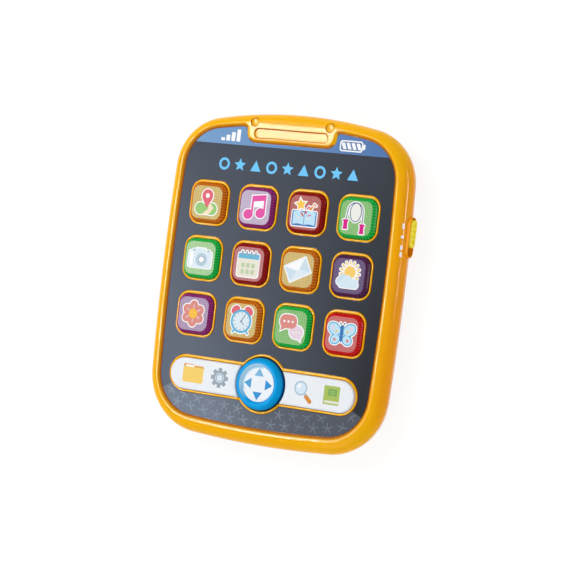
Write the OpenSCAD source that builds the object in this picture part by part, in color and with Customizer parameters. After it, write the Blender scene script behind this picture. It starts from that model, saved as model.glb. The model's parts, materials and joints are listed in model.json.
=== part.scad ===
// Toy tablet for small children: two shells, a printed screen, lit app keys, a menu bar of two keys,
// a four-way knob and a slide switch on the right side.
// It lies on its back: +X is its right, +Y its head, +Z comes out of the screen, Z = 0 is the back.

/* [Case] */
// Width of the case at its widest line
case_w = 163.8; // [162:0.2:172]
// Height of the case from foot to head
case_h = 199; // [198:0.5:206]
// Height of the screen above the back
screen_z = 19; // [18.8:0.2:22]
// Height of the seam between the two shells
seam_z = 12; // [11.5:0.1:12.4]
// Wall of the shells
wall = 2.6; // [2.2:0.1:3]
// Thickness of the flat back
floor_t = 2.4; // [2.2:0.1:2.6]
// How far the rear edge is rounded in from the side
rear_round = 12; // [9:0.5:13]
// Radius of the two corners at the head
head_corner_r = 33; // [28:0.5:36]
// Radius of the two corners at the foot
foot_corner_r = 36; // [30:0.5:40]
// Radius of the bowed long sides
side_bow_r = 1500; // [1000:50:3000]
// Radius of the arched head
head_bow_r = 290; // [250:10:500]
// Radius of the bowed foot
foot_bow_r = 600; // [400:20:1200]

/* [Rim] */
// Width of the rim beside the screen
rim_side = 9.2; // [8.6:0.2:10.4]
// Width of the rim at the head
rim_head = 7.9; // [7.4:0.1:9]
// Width of the rim at the foot
rim_foot = 10.4; // [9:0.2:12]
// Height of the rim's crest above the screen
rim_h = 1.3; // [0.8:0.1:2]
// Radius of the screen's corners at the head
screen_head_r = 24.5; // [20:0.5:28]
// Radius of the screen's corners at the foot
screen_foot_r = 26; // [20:0.5:30]
// Radius of the arch over the screen
screen_head_bow_r = 325; // [280:5:500]
// Thickness of the printed screen sheet
label_t = 0.4; // [0.3:0.05:0.6]
// Thickness of the plate under the screen
plate_t = 1.8; // [1.4:0.1:2]

/* [Head tab] */
// Width of the flat tab at the head
tab_w = 61.2; // [54:0.2:66]
// How far the tab reaches down from the screen's arch
tab_drop = 11.1; // [9:0.1:13]
// Radius of the tab's lower corners
tab_r = 6.5; // [5:0.1:8]
// Radius where the tab's sides meet the arch
tab_fillet = 2.4; // [1.5:0.1:3.5]
// Length of the pill-shaped recess in the tab
pill_len = 49.6; // [40:0.2:52]
// Width of the pill-shaped recess
pill_w = 5.5; // [4:0.1:6]
// Depth of the recesses in the tab
pill_depth = 0.6; // [0.3:0.1:0.9]
// Diameter of the two round dimples beside the pill
dimple_d = 5; // [3:0.1:6]
// Spacing of the two dimples
dimple_span = 51.2; // [44:0.2:56]

/* [App keys] */
// Room between the outer keys and the edge of the screen
side_room = 9.5; // [8:0.25:11]
// Spacing of the key rows as a share of the case's height
row_share = 0.17085; // [0.165:0.00005:0.173]
// Height of the middle row above the case's centre as a share of the case's height
grid_share = 0.0397; // [0.035:0.0001:0.045]
// Width of a key where it leaves its collar
key_w = 24.4; // [22:0.1:25]
// Corner radius of a key
key_r = 6; // [4.5:0.1:7]
// Width of a key's flat top
key_top_w = 20.5; // [18:0.1:21.5]
// Corner radius of a key's flat top
key_top_r = 4.6; // [3.5:0.1:6]
// Height of a key's top above the screen
key_h = 3.6; // [3:0.1:4.5]
// Travel of a key when it is pressed
key_travel = 1.2; // [0.8:0.1:1.3]
// Gap round a key in its well
key_gap = 0.4; // [0.3:0.05:0.6]
// Wall of a hollow key
key_wall = 1.8; // [1.2:0.1:2.2]
// How far a key's flange reaches past its sides
key_flange = 1.3; // [0.9:0.1:1.6]
// Thickness of a key's flange
flange_t = 1; // [0.8:0.1:1.1]
// Wall of the collar round each well
collar_t = 1.15; // [0.8:0.05:1.6]
// Height of the collars above the screen
collar_h = 1.1; // [0.6:0.1:1.6]
// Diameter of the plunger under a key
plunger_d = 6; // [4:0.2:7]

/* [Menu bar] */
// Width of the menu bar
menu_w = 19.6; // [17:0.2:21]
// Distance of the menu bar below the case's centre as a share of the case's height
menu_share = 0.31357; // [0.308:0.00001:0.317]
// Height of the menu keys above the screen
menu_h = 1.9; // [1.4:0.1:2.4]
// Distance of a menu key's plunger from the middle
menu_plunger_x = 40; // [32:0.5:46]

/* [Knob] */
// Diameter of the knob
knob_d = 32.4; // [29:0.2:33]
// Height of the knob's brim above the screen
knob_h = 5.5; // [4.6:0.1:7]
// Gap round the knob in its well
knob_gap = 0.45; // [0.4:0.05:0.6]
// Radius of the knob's rounded shoulder
shoulder_r = 3.2; // [2:0.1:3.4]
// Diameter of the dish in the knob
dish_d = 24.8; // [22.4:0.2:25]
// Depth of the dish below the brim
dish_depth = 1.7; // [1.2:0.1:2]
// Diameter of the white face in the dish
face_d = 21.4; // [18:0.2:22]
// Thickness of the white face
face_t = 0.8; // [0.6:0.1:1]
// Height of the knob's pivot below the screen
pivot_drop = 1.8; // [1.4:0.1:2]
// Diameter of the pivot pins
pin_d = 2.4; // [2:0.1:2.6]
// Running clearance round the pivot pins
pin_play = 0.05; // [0.03:0.01:0.09]

/* [Slide switch] */
// Distance of the switch above the case's centre
switch_y = 34; // [32:0.5:38]
// Height of the switch above the back
switch_z = 11.2; // [10.8:0.1:11.6]
// Length of the oval collar
switch_len = 23.8; // [23.6:0.2:26]
// Width of the oval collar
switch_w = 7.6; // [7:0.1:8.2]
// Wall of the oval collar
switch_wall = 1.1; // [0.8:0.05:1.2]
// How far the collar stands out of the side
switch_proud = 1.1; // [0.6:0.1:2]
// Length of the slider
slider_len = 16.3; // [14:0.1:16.6]
// How far the slider stands out of its collar
slider_proud = 0.9; // [0.6:0.1:1.5]
// Travel of the slider from end to end
slider_travel = 4.4; // [3:0.1:4.4]
// Gap between the slider and its collar
slider_gap = 0.25; // [0.2:0.05:0.4]
// Number of grip grooves on the slider
groove_count = 4; // [2:1:5]

/* [Inside] */
// Thickness of the main board
board_t = 1.2; // [1:0.1:1.4]
// Thickness of the rubber sheet
sheet_t = 0.6; // [0.5:0.1:0.8]
// Wall of the light box
box_wall = 1.2; // [0.8:0.1:1.6]
// Diameter of a battery
cell_d = 10.5; // [9.5:0.1:10.5]
// Length of a battery with its tip
cell_len = 44.5; // [43:0.5:46]
// Thickness of the battery door
door_t = 1.5; // [1.2:0.1:1.6]
// Diameter of the speaker
speaker_d = 37; // [34:0.5:40]
// Depth of the speaker's basket
speaker_depth = 5.3; // [4.8:0.1:5.6]
// Height of the speaker's magnet
magnet_h = 3.4; // [2.5:0.1:3.6]
// Distance of the speaker below the case's centre
speaker_drop = 18; // [16:0.5:20]
// Diameter of a case screw's thread
screw_d = 2.6; // [2.2:0.1:3]
// Outer diameter of a case screw's boss
boss_d = 7; // [6.6:0.1:7.4]
// Diameter of the wires inside
wire_d = 1.2; // [0.8:0.1:1.4]

/* [Hidden] */
$fn = 48;
rest_gap = 0.3;
seat_gap = 0.05;
fit_gap = 0.1;
overlap = 0.5;

// Heights, worked out down from the screen
plate_top = screen_z - label_t;
plate_low = plate_top - plate_t;
flange_top = plate_low - rest_gap;
flange_low = flange_top - flange_t;
sheet_top = flange_low - key_travel - fit_gap;
board_top = sheet_top - sheet_t;
board_low = board_top - board_t;
dome_top = flange_low - rest_gap;
collar_z = screen_z + collar_h;
crest_z = screen_z + rim_h;
ring_low = plate_low - 0.2;

// Plan of the case, and of the screen inside its rim:
// half width, head, foot, head corner, foot corner, side bow, head bow, foot bow
widest_y = 3;
case_plan = [case_w / 2, case_h / 2, -case_h / 2,
    head_corner_r, foot_corner_r, side_bow_r, head_bow_r, foot_bow_r];
screen_plan = [case_w / 2 - rim_side, case_h / 2 - rim_head, -case_h / 2 + rim_foot,
    screen_head_r, screen_foot_r, side_bow_r, screen_head_bow_r, foot_bow_r];

// Steps along the arcs of an outline
side_steps = 6;
corner_steps = 10;
bow_steps = 4;
fillet_steps = 4;
tab_steps = 5;
foot_middle = 0.5;

// The rim's section: how far across it the bevel and the crest lie, and its outer curve
bevel_at = 0.16;
crest_at = 0.28;
narrowest_rim = min(rim_side, rim_head, rim_foot);
curve_power = 1.7;
curve_steps = [0.02, 0.3, 0.55, 0.75, 0.9, 0.975, 1];
rear_steps = 5;

function inset(plan, d) = [plan[0] - d, plan[1] - d, plan[2] + d,
    plan[3] - d, plan[4] - d, plan[5] - d, plan[6] - d, plan[7] - d];
function blend(a, b, t) = a * (1 - t) + b * t;
function arc(c, r, from, to, steps, last = 0) = [for (k = [0 : steps - 1 + last])
    c + r * [cos(from + (to - from) * k / steps), sin(from + (to - from) * k / steps)]];
function angle(a, b) = atan2(b[1] - a[1], b[0] - a[0]);
function mirrored(points) = [for (k = [len(points) - 1 : -1 : 0]) [-points[k][0], points[k][1]]];
function at_height(points, z) = [for (p = points) [p[0], p[1], z]];
function arch_centre(plan) = [0, plan[1] - plan[6]];

// The point at distance ra from a and rb from b, to the right of the way from a to b
function meet(a, ra, b, rb) =
    let (d = norm(b - a), u = (b - a) / d, s = (d * d + ra * ra - rb * rb) / (2 * d))
    a + s * u + sqrt(ra * ra - s * s) * [u[1], -u[0]];

// Centre of the fillet between the tab's side and the arch
function fillet_centre(plan, x, f) =
    [x, arch_centre(plan)[1] + sqrt(pow(plan[6] - f, 2) - x * x)];

// The arch from the right down the tab's edge to its middle, at a distance d into the tab
function tab_edge(plan, d) =
    let (half = tab_w / 2 - d, r = tab_r - d, f = tab_fillet + d,
        c = fillet_centre(plan, half + f, f),
        low = screen_plan[1] - tab_drop + d)
    concat(arc(c, f, angle(arch_centre(plan), c), 180, fillet_steps, 1),
        arc([half - r, low + r], r, 0, -90, tab_steps, 1));

// The same stretch of the arch without the tab
function plain_edge(plan) =
    let (c = fillet_centre(plan, tab_w / 2 + tab_fillet, tab_fillet),
        steps = fillet_steps + tab_steps + 2)
    arc(arch_centre(plan), plan[6], angle(arch_centre(plan), c), 90, steps);

// A closed outline, anticlockwise from the middle of the foot, with the tab or without it
function outline(plan, tab_in = undef) =
    let (side = [plan[0] - plan[5], widest_y],
        head = arch_centre(plan),
        foot = [0, plan[2] + plan[7]],
        high = meet(head, plan[6] - plan[3], side, plan[5] - plan[3]),
        low = meet(side, plan[5] - plan[4], foot, plan[7] - plan[4]),
        edge = is_undef(tab_in) ? plain_edge(plan) : tab_edge(plan, tab_in),
        right = concat(
            arc(foot, plan[7], foot_middle - 90, angle(foot, low), bow_steps),
            arc(low, plan[4], angle(foot, low), angle(side, low), corner_steps),
            arc(side, plan[5], angle(side, low), angle(side, high), side_steps),
            arc(high, plan[3], angle(side, high), angle(head, high), corner_steps),
            arc(head, plan[6], angle(head, high), angle(head, edge[0]), bow_steps),
            edge))
    concat(right, mirrored(right));

// Skins a closed loop of rings, each with as many points as the others
module ring_solid(rings) {
    n = len(rings[0]);
    m = len(rings);
    points = [for (ring = rings) each ring];
    faces = [for (i = [0 : m - 1], k = [0 : n - 1])
        let (j = (i + 1) % m, l = (k + 1) % n)
        each [[i * n + k, j * n + k, j * n + l], [i * n + k, j * n + l, i * n + l]]];
    polyhedron(points, faces);
}

// A rounded rectangle, and a bar with round ends, centred
module pad(w, h, r) {
    square([w - 2 * r, h], center = true);
    square([w, h - 2 * r], center = true);
    for (x = [-1, 1], y = [-1, 1])
        translate([x * (w / 2 - r), y * (h / 2 - r)]) circle(r);
}
module bar(len, w) {
    square([len - w, w], center = true);
    for (x = [-1, 1])
        translate([x * (len - w) / 2, 0]) circle(d = w);
}

// A flat shape drawn between two heights
module between(low, high) {
    translate([0, 0, low]) linear_extrude(high - low) children();
}

// A block between two corners
module block(low, high) {
    translate(low) cube(high - low);
}

// A straight rod between two points
module rod(a, b, d) {
    way = b - a;
    translate(a) rotate([0, acos(way[2] / norm(way)), atan2(way[1], way[0])])
        cylinder(d = d, h = norm(way));
}

// A screw that stands on its head, with a cross in the head
module screw(head_d, head_h, thread_d, len) {
    slot_w = 0.22 * head_d;
    difference() {
        cylinder(d = head_d, h = head_h);
        for (a = [0, 90])
            rotate(a) cube([0.6 * head_d, slot_w, head_h], center = true);
    }
    translate([0, 0, head_h - seat_gap]) cylinder(d = thread_d, h = len + seat_gap);
}

// Places of the keys, the knob and the light box
key_count = 12;
columns = 4;
col_pitch = (case_w - 2 * rim_side - 2 * side_room - key_w) / (columns - 1);
row_pitch = row_share * case_h;
grid_y = grid_share * case_h;
menu_drop = menu_share * case_h;
menu_len = (columns - 1) * col_pitch + key_w;
function key_at(i) = [(i % columns - 1.5) * col_pitch, grid_y + (1 - floor(i / columns)) * row_pitch];
knob_at = [0, -menu_drop];
box_half_w = 2 * col_pitch + box_wall / 2;
box_head = grid_y + 1.5 * row_pitch + box_wall / 2;
box_foot = grid_y - 1.5 * row_pitch - box_wall / 2;

// The board reaches past the outer keys and the menu bar
board_edge = 3;
board_half_w = 1.5 * col_pitch + key_w / 2 + board_edge;
board_head = grid_y + row_pitch + key_w / 2 + key_flange + rest_gap;
board_foot = -menu_drop - menu_w / 2 - key_flange - 2;

// Case screws come in from the back, board screws from under the board
boss_meet_z = 8;
screw_floor = 2.5;
screw_end_room = 1;
screw_seat_z = boss_meet_z - screw_floor;
screw_head_d = 2 * screw_d;
screw_head_h = 1.8;
well_gap = 0.4;
head_screw_in = [20, 29.5];
foot_screw_in = 22;
foot_screw_y = board_foot - boss_d / 2 - 1.5;
case_screw_at = [for (x = [-1, 1]) each [
    [x * (case_w / 2 - head_screw_in[0]), case_h / 2 - head_screw_in[1]],
    [x * (case_w / 2 - foot_screw_in), foot_screw_y]]];
case_screw_len = 9;
board_boss_d = 4.6;
board_screw_d = 2;
board_screw_len = 3.6;
low_screw_out = 10;
board_screw_at = [for (x = [-1, 1]) each [
    [x * col_pitch, grid_y + row_pitch / 2],
    [x * col_pitch, grid_y - row_pitch / 2],
    [x * (col_pitch + low_screw_out), (box_foot - menu_drop + menu_w / 2) / 2]]];

// Plan of all wells, grown by a margin: the wells, their collars and the cut-outs of the screen
module wells_plan(grow) {
    for (i = [0 : key_count - 1])
        translate(key_at(i)) pad(key_w + 2 * grow, key_w + 2 * grow, key_r + grow);
    translate(knob_at) {
        bar(menu_len + 2 * grow, menu_w + 2 * grow);
        circle(d = knob_d + 2 * (knob_gap - key_gap + grow));
    }
}

// An oval along the right side wall, from x0 to x1
module side_oval(len, w, x0, x1, y = switch_y) {
    translate([x0, y, switch_z]) rotate([90, 0, 90]) linear_extrude(x1 - x0) bar(len, w);
}

// Front shell: the rim, the plate under the screen, the collars and the bosses
pill_up = 5.85;
dimple_in = 0.9;
side_cut_in = 12;
side_cut_out = 5;
module front_rim() {
    screen_edge = outline(screen_plan, 0);
    hollow = outline(inset(case_plan, wall));
    inner = [for (k = [[0, 0], [bevel_at, 0.7], [crest_at, 1]])
        let (d = k[0] * narrowest_rim)
        at_height(outline(inset(screen_plan, -d), d), screen_z + k[1] * rim_h)];
    outer = [for (s = curve_steps)
        at_height(blend(outline(screen_plan), outline(case_plan), crest_at + (1 - crest_at) * s),
            seam_z + (crest_z - seam_z) * sqrt(1 - pow(s, curve_power)))];
    ring_solid(concat(
        [at_height(hollow, seam_z)],
        [for (k = [len(outer) - 1 : -1 : 0]) outer[k]],
        [for (k = [len(inner) - 1 : -1 : 0]) inner[k]],
        [at_height(screen_edge, ring_low), at_height(hollow, ring_low)]));
}
module front_case() color("orange") difference() {
    union() {
        front_rim();
        between(plate_low, plate_top) polygon(outline(inset(screen_plan, -1), 1));
        between(plate_low + overlap, collar_z) wells_plan(key_gap + collar_t);
        for (p = case_screw_at)
            translate(p) between(boss_meet_z, plate_low + overlap) circle(d = boss_d);
        for (p = board_screw_at)
            translate(p) between(board_top, plate_low + overlap) circle(d = board_boss_d);
    }
    between(plate_low - 1, collar_z + 1) wells_plan(key_gap);
    for (p = case_screw_at)
        translate(p) between(boss_meet_z - 1, boss_meet_z + case_screw_len) circle(d = screw_d + fit_gap);
    for (p = board_screw_at)
        translate(p) between(board_top - 1, board_top + board_screw_len) circle(d = board_screw_d + fit_gap);
    side_oval(switch_len + 2 * fit_gap, switch_w + 2 * fit_gap,
        case_w / 2 - side_cut_in, case_w / 2 + side_cut_out);
    translate([0, screen_plan[1] - tab_drop + pill_up])
        between(crest_z - pill_depth, crest_z + 1) bar(pill_len, pill_w);
    for (x = [-1, 1])
        translate([x * dimple_span / 2, screen_plan[1] + crest_at * rim_head - dimple_in])
            between(crest_z - pill_depth, crest_z + 1) circle(d = dimple_d);
}

// Printed screen sheet
label_gap = 0.15;
module screen_label() color("dimgray") between(plate_top, screen_z) difference() {
    polygon(outline(inset(screen_plan, label_gap), -label_gap));
    wells_plan(key_gap + collar_t + label_gap);
}

// App key: a flange, a hollow square body and a flat top with sloping sides
key_z = screen_z + key_h;
key_colours = ["goldenrod", "purple", "darkred", "green", "green", "darkred",
    "goldenrod", "indigo", "purple", "goldenrod", "green", "red"];
module app_button(i) color(key_colours[i]) translate(key_at(i)) difference() {
    flange_w = key_w + 2 * key_flange;
    hollow_w = key_w - 2 * key_wall;
    union() {
        between(flange_low, flange_top) pad(flange_w, flange_w, key_r + key_flange);
        between(flange_low, collar_z) pad(key_w, key_w, key_r);
        hull($fn = 32) {
            between(collar_z - overlap, collar_z) pad(key_w, key_w, key_r);
            between(key_z - fit_gap, key_z) pad(key_top_w, key_top_w, key_top_r);
        }
    }
    between(flange_low - 1, collar_z - overlap) difference() {
        pad(hollow_w, hollow_w, key_r - key_wall);
        circle(d = plunger_d);
    }
}

// Menu key: half of the bar, cut round beside the knob
knob_clear = 0.7;
menu_z = screen_z + menu_h;
module menu_plan(grow) intersection() {
    difference() {
        bar(menu_len + 2 * grow, menu_w + 2 * grow);
        circle(d = knob_d + 2 * (knob_clear + max(-grow, 0)));
    }
    translate([0, -menu_w]) square([menu_len, 2 * menu_w]);
}
module menu_key(side) color("white") translate(knob_at) mirror([side < 0 ? 1 : 0, 0, 0]) difference() {
    union() {
        between(flange_low, flange_top) menu_plan(key_flange);
        between(flange_low, menu_z) menu_plan(0);
    }
    between(flange_low - 1, menu_z - key_wall) difference() {
        menu_plan(-key_wall);
        translate([menu_plunger_x, 0]) circle(d = plunger_d);
    }
}

// Four-way knob: a dished cap on a crossed pivot, which a fork on the board carries
brim_z = screen_z + knob_h;
face_z = brim_z - dish_depth;
knob_top_t = 1.6;
knob_wall = 2.2;
ceiling_z = face_z - face_t - knob_top_t;
skirt_low = flange_low + fit_gap;
pivot_z = screen_z - pivot_drop;
shoulder_steps = 8;
pin_hole_d = pin_d + 2 * pin_play;
lug_at = 7.8;
lug_t = 2.6;
lug_w = pin_d + 2.8;
fork_at = 4.8;
fork_t = 2;
module nav_knob() color("dodgerblue") translate(knob_at) {
    r = knob_d / 2;
    rotate_extrude() polygon(concat(
        [[r - knob_wall, skirt_low], [r, skirt_low]],
        arc([r - shoulder_r, brim_z - shoulder_r], shoulder_r, 0, 90, shoulder_steps, 1),
        [[dish_d / 2, brim_z - fit_gap], [face_d / 2 + fit_gap, face_z],
            [face_d / 2 + fit_gap, face_z - face_t], [0, face_z - face_t],
            [0, ceiling_z], [r - knob_wall, ceiling_z]]));
    for (y = [-1, 1]) difference() {
        lug_low = pivot_z - lug_w / 2 + 1;
        lug_y = y * (lug_at + lug_t / 2);
        translate([0, lug_y]) between(lug_low, ceiling_z + overlap) square([lug_w, lug_t], center = true);
        translate([0, lug_y, pivot_z]) rotate([90, 0, 0])
            cylinder(d = pin_hole_d, h = 2 * lug_t, center = true);
    }
}
module nav_face() color("white")
    translate(knob_at) between(face_z - face_t + seat_gap, face_z + seat_gap) circle(d = face_d);
module nav_cross() color("silver") translate([knob_at[0], knob_at[1], pivot_z]) {
    hub = 2 * (fork_at - 2);
    cube([hub, hub, pin_d + 1], center = true);
    rotate([0, 90, 0]) cylinder(d = pin_d, h = 2 * (fork_at + fork_t), center = true);
    rotate([90, 0, 0]) cylinder(d = pin_d, h = 2 * (lug_at + lug_t), center = true);
}
fork_base = [17, 10];
fork_base_t = 1;
peg_d = 2;
module nav_yoke() color("gainsboro") translate(knob_at) difference() {
    union() {
        between(board_top, board_top + fork_base_t) square(fork_base, center = true);
        for (x = [-1, 1]) translate([x * (fork_at + fork_t / 2), 0]) {
            between(board_top, pivot_z) square([fork_t, lug_w], center = true);
            translate([0, 0, pivot_z]) rotate([0, 90, 0]) cylinder(d = lug_w, h = fork_t, center = true);
            translate([x * peg_d / 2, 0]) between(board_low, board_top + fork_base_t) circle(d = peg_d);
        }
    }
    translate([0, 0, pivot_z]) rotate([0, 90, 0]) cylinder(d = pin_hole_d, h = fork_base[0], center = true);
}

// Slide switch on the right side: an oval collar, the slider through it, and the switch on the board
collar_in = 4.9;
oval_x = case_w / 2 + switch_proud;
slider_x = oval_x + slider_proud;
slider_rest = slider_travel / 2;
slider_w = switch_w - 2 * switch_wall - 2 * slider_gap;
slider_back_x = case_w / 2 - collar_in - rest_gap;
slider_plate_t = 1.4;
slider_plate_len = slider_len + 7.7;
slider_plate_w = switch_w - 0.6;
groove_pitch = 3;
groove_w = 1.7;
groove_depth = 0.7;
lever_w = 2;
lever_h = 2.2;
tine_t = 1.4;
tine_len = 2.8;
switch_size = [6, 13, 5];
switch_x = slider_back_x - slider_plate_t - tine_len - 1.4;
switch_slot = [1.6, lever_w + slider_travel + 0.6, lever_h + 0.4];
module switch_collar() color("orange") difference() {
    side_oval(switch_len, switch_w, case_w / 2 - collar_in, oval_x);
    side_oval(switch_len - 2 * switch_wall, switch_w - 2 * switch_wall,
        case_w / 2 - collar_in - 1, oval_x + 1);
}
module switch_slider() color("gold") {
    y = switch_y + slider_rest;
    difference() {
        side_oval(slider_len, slider_w, slider_back_x - fit_gap, slider_x, y);
        for (k = [0 : groove_count - 1])
            translate([slider_x, y + (k - (groove_count - 1) / 2) * groove_pitch, switch_z + slider_w / 5])
                cube([2 * groove_depth, groove_w, slider_w], center = true);
    }
    translate([slider_back_x - slider_plate_t / 2, y, switch_z])
        cube([slider_plate_t, slider_plate_len, slider_plate_w], center = true);
    for (s = [-1, 1])
        translate([slider_back_x - slider_plate_t - tine_len / 2,
            y + s * (lever_w / 2 + fit_gap + tine_t / 2), switch_lever_z()])
            cube([tine_len + fit_gap, tine_t, lever_h], center = true);
}
function switch_lever_z() = board_low - switch_size[2] / 2;
module switch_lever() color("white") {
    low_x = switch_x - switch_slot[0] + fit_gap;
    high_x = slider_back_x - slider_plate_t - rest_gap;
    translate([(low_x + high_x) / 2, switch_y + slider_rest, switch_lever_z()])
        cube([high_x - low_x, lever_w, lever_h], center = true);
}
module switch_body() color("silver") difference() {
    block([switch_x - switch_size[0], switch_y - switch_size[1] / 2, board_low - switch_size[2]],
        [switch_x, switch_y + switch_size[1] / 2, board_low]);
    translate([switch_x, switch_y, switch_lever_z()])
        cube([2 * switch_slot[0], switch_slot[1], switch_slot[2]], center = true);
}

// Rubber sheet with a dome under each key, the menu keys and four under the knob
dome_d = 9;
knob_dome_d = 4;
knob_dome_taper = 1.4;
knob_margin = 5;
light_size = 3;
light_h = 0.9;
light_off = 6.5;
menu_light_x = 28;
sheet_gap = 1;
light_at = concat([for (i = [0 : key_count - 1]) key_at(i) + [light_off, light_off]],
    [for (x = [-1, 1]) [x * menu_light_x, -menu_drop]]);
knob_dome_r = (knob_d - knob_wall) / 2;
yoke_hole_d = knob_d - 2 * knob_wall - 3;
module sheet_plan(edge) {
    translate([-board_half_w + edge, board_foot + edge])
        square([2 * (board_half_w - edge), board_head - board_foot - 2 * edge]);
    translate(knob_at) circle(d = knob_d + knob_margin - 2 * edge);
}
module rubber_keypad() color("lightgray") {
    between(board_top, sheet_top) difference() {
        sheet_plan(sheet_gap);
        for (p = light_at)
            translate(p) square(light_size + 2 * sheet_gap, center = true);
        for (p = board_screw_at)
            translate(p) circle(d = board_boss_d + sheet_gap);
        translate(knob_at) circle(d = yoke_hole_d);
    }
    dome_base = sheet_top - fit_gap;
    for (p = concat([for (i = [0 : key_count - 1]) key_at(i)],
            [for (x = [-1, 1]) [x * menu_plunger_x, -menu_drop]]))
        translate([p[0], p[1], dome_base])
            cylinder(d1 = dome_d, d2 = plunger_d, h = dome_top - dome_base);
    for (a = [0 : 90 : 270])
        translate([knob_dome_r * cos(a), knob_dome_r * sin(a) - menu_drop, dome_base])
            cylinder(d1 = knob_dome_d, d2 = knob_dome_d - knob_dome_taper,
                h = skirt_low - rest_gap - dome_base);
}

// Light box: a grid with a cell round each key, which holds the rubber sheet down
box_gap = 0.15;
box_sleeve_t = 1.5;
module light_box() color("white") between(sheet_top, plate_low - box_gap) {
    sleeve_d = board_boss_d + 2 * box_gap;
    grid_screws = [for (p = board_screw_at) if (p[1] > box_foot + box_wall) p];
    difference() {
        union() {
            for (c = [0 : columns])
                translate([(c - columns / 2) * col_pitch, (box_head + box_foot) / 2])
                    square([box_wall, box_head - box_foot], center = true);
            for (r = [-1.5 : 1 : 1.5])
                translate([0, grid_y + r * row_pitch]) square([2 * box_half_w, box_wall], center = true);
            for (p = grid_screws)
                translate(p) circle(d = sleeve_d + 2 * box_sleeve_t);
        }
        for (p = grid_screws)
            translate(p) circle(d = sleeve_d);
    }
}

// Main board with its lights and small parts
chip_at = [-24, 34];
chip_d = 13;
chip_h = 1.8;
can_d = 5;
can_len = 8;
small_part = [3.2, 1.6, 0.6];
module main_board() color("darkgreen") between(board_low, board_top) difference() {
    union() {
        sheet_plan(0);
        translate([0, switch_y - switch_size[1] / 2])
            square([switch_x - fit_gap, switch_size[1]]);
    }
    for (p = board_screw_at)
        translate(p) circle(d = board_screw_d + fit_gap);
    for (x = [-1, 1])
        translate(knob_at + [x * (fork_at + (fork_t + peg_d) / 2), 0]) circle(d = peg_d + fit_gap);
}
module key_lights() color("ivory")
    for (p = light_at)
        translate(p) between(board_top, board_top + light_h) square(light_size, center = true);
module board_parts() color("black") {
    can_at = chip_at + [chip_d, -can_len / 2];
    translate([chip_at[0], chip_at[1], board_low - chip_h])
        cylinder(d1 = 0.7 * chip_d, d2 = chip_d, h = chip_h);
    translate([can_at[0], can_at[1], board_low - can_d / 2]) rotate([-90, 0, 0])
        cylinder(d = can_d, h = can_len);
    for (k = [-1.5 : 1 : 1.5])
        translate(can_at + [2 * can_d, can_len / 2 + 2 * k * small_part[1]])
            between(board_low - small_part[2], board_low)
                square([small_part[0], small_part[1]], center = true);
}
small_head_h = 1.2;
module board_screws() color("silver")
    for (p = board_screw_at)
        translate([p[0], p[1], board_low - small_head_h - seat_gap])
            screw(2 * board_screw_d, small_head_h, board_screw_d, board_t + board_screw_len - overlap);

// Battery bay at the head of the rear shell, with its door, cells and contacts
bay_wall = 1.4;
contact_room = 4.75;
cell_pitch = cell_d + 1;
bay_len = cell_len + 2 * contact_room;
bay_w = 2 * cell_d + 2.6;
bay_y = box_head + rest_gap + bay_wall + bay_w / 2;
bay_top = door_t + 2 * rest_gap + cell_d;
cell_z = door_t + rest_gap + cell_d / 2;
ledge = 2;
door_tail = 8;
door_r = 3;
door_gap = 0.2;
door_w = bay_len + 2 * ledge;
door_h = bay_w + 2 * ledge + door_tail;
door_y = bay_y - door_tail / 2;
door_screw_y = bay_y - bay_w / 2 - door_tail / 2 - 0.6;
door_boss_d = 6;
door_boss_z = 8;
door_head_d = 5;
door_head_h = 0.8;
door_sink = 0.9;
door_screw_len = 6;
cell_tip_d = 3.8;
cell_tip = 1;
hook = [8, 1.6, 0.8];
hook_x = 18;
tag = [7, 3, 0.4];
tag_z = 9;
module hooks(grow) {
    for (x = [-1, 1])
        translate([x * hook_x, door_y + door_h / 2 + hook[1] / 2 - overlap / 2, door_t - hook[2] / 2])
            cube([hook[0] + 2 * grow, hook[1] + overlap + 2 * grow, hook[2] + 2 * grow], center = true);
}
module battery_door() color("orange") difference() {
    union() {
        translate([0, door_y]) between(0, door_t) pad(door_w, door_h, door_r);
        hooks(0);
    }
    translate([0, door_screw_y]) between(-1, door_t + 1) circle(d = board_screw_d + well_gap);
    translate([0, door_screw_y]) between(-1, door_sink) circle(d = door_head_d + well_gap);
}
module door_screw() color("silver")
    translate([0, door_screw_y, door_sink - door_head_h])
        screw(door_head_d, door_head_h - seat_gap, board_screw_d, door_screw_len);
module battery(i) color("seagreen")
    translate([0, bay_y + (i - 0.5) * cell_pitch, cell_z]) rotate([0, i == 0 ? 90 : -90, 0])
        translate([0, 0, -cell_len / 2]) {
            cylinder(d = cell_d, h = cell_len - cell_tip);
            translate([0, 0, cell_len - cell_tip - seat_gap])
                cylinder(d = cell_tip_d, h = cell_tip + seat_gap);
        }
contact_t = 0.4;
contact_w = 7;
contact_h = 8;
contact_tip = 1.6;
module battery_contacts() color("silver")
    for (x = [-1, 1], y = [-1, 1])
        translate([0, bay_y + y * cell_pitch / 2, cell_z]) mirror([x < 0 ? 1 : 0, 0, 0]) {
            back = bay_len / 2 - seat_gap;
            tip = cell_len / 2 + rest_gap;
            foot = contact_h / 2;
            rotate([90, 0, 0]) translate([0, 0, -contact_w / 2]) linear_extrude(contact_w)
                polygon([[back, -foot], [back, foot], [back - contact_t, foot], [tip, contact_tip / 2],
                    [tip, -contact_tip / 2], [back - contact_t, -0.65 * foot], [back - contact_t, -foot]]);
            translate([back - overlap, -tag[1] / 2, tag_z - cell_z])
                cube([tag[0] - bay_wall, tag[1], tag[2]]);
        }

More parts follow.
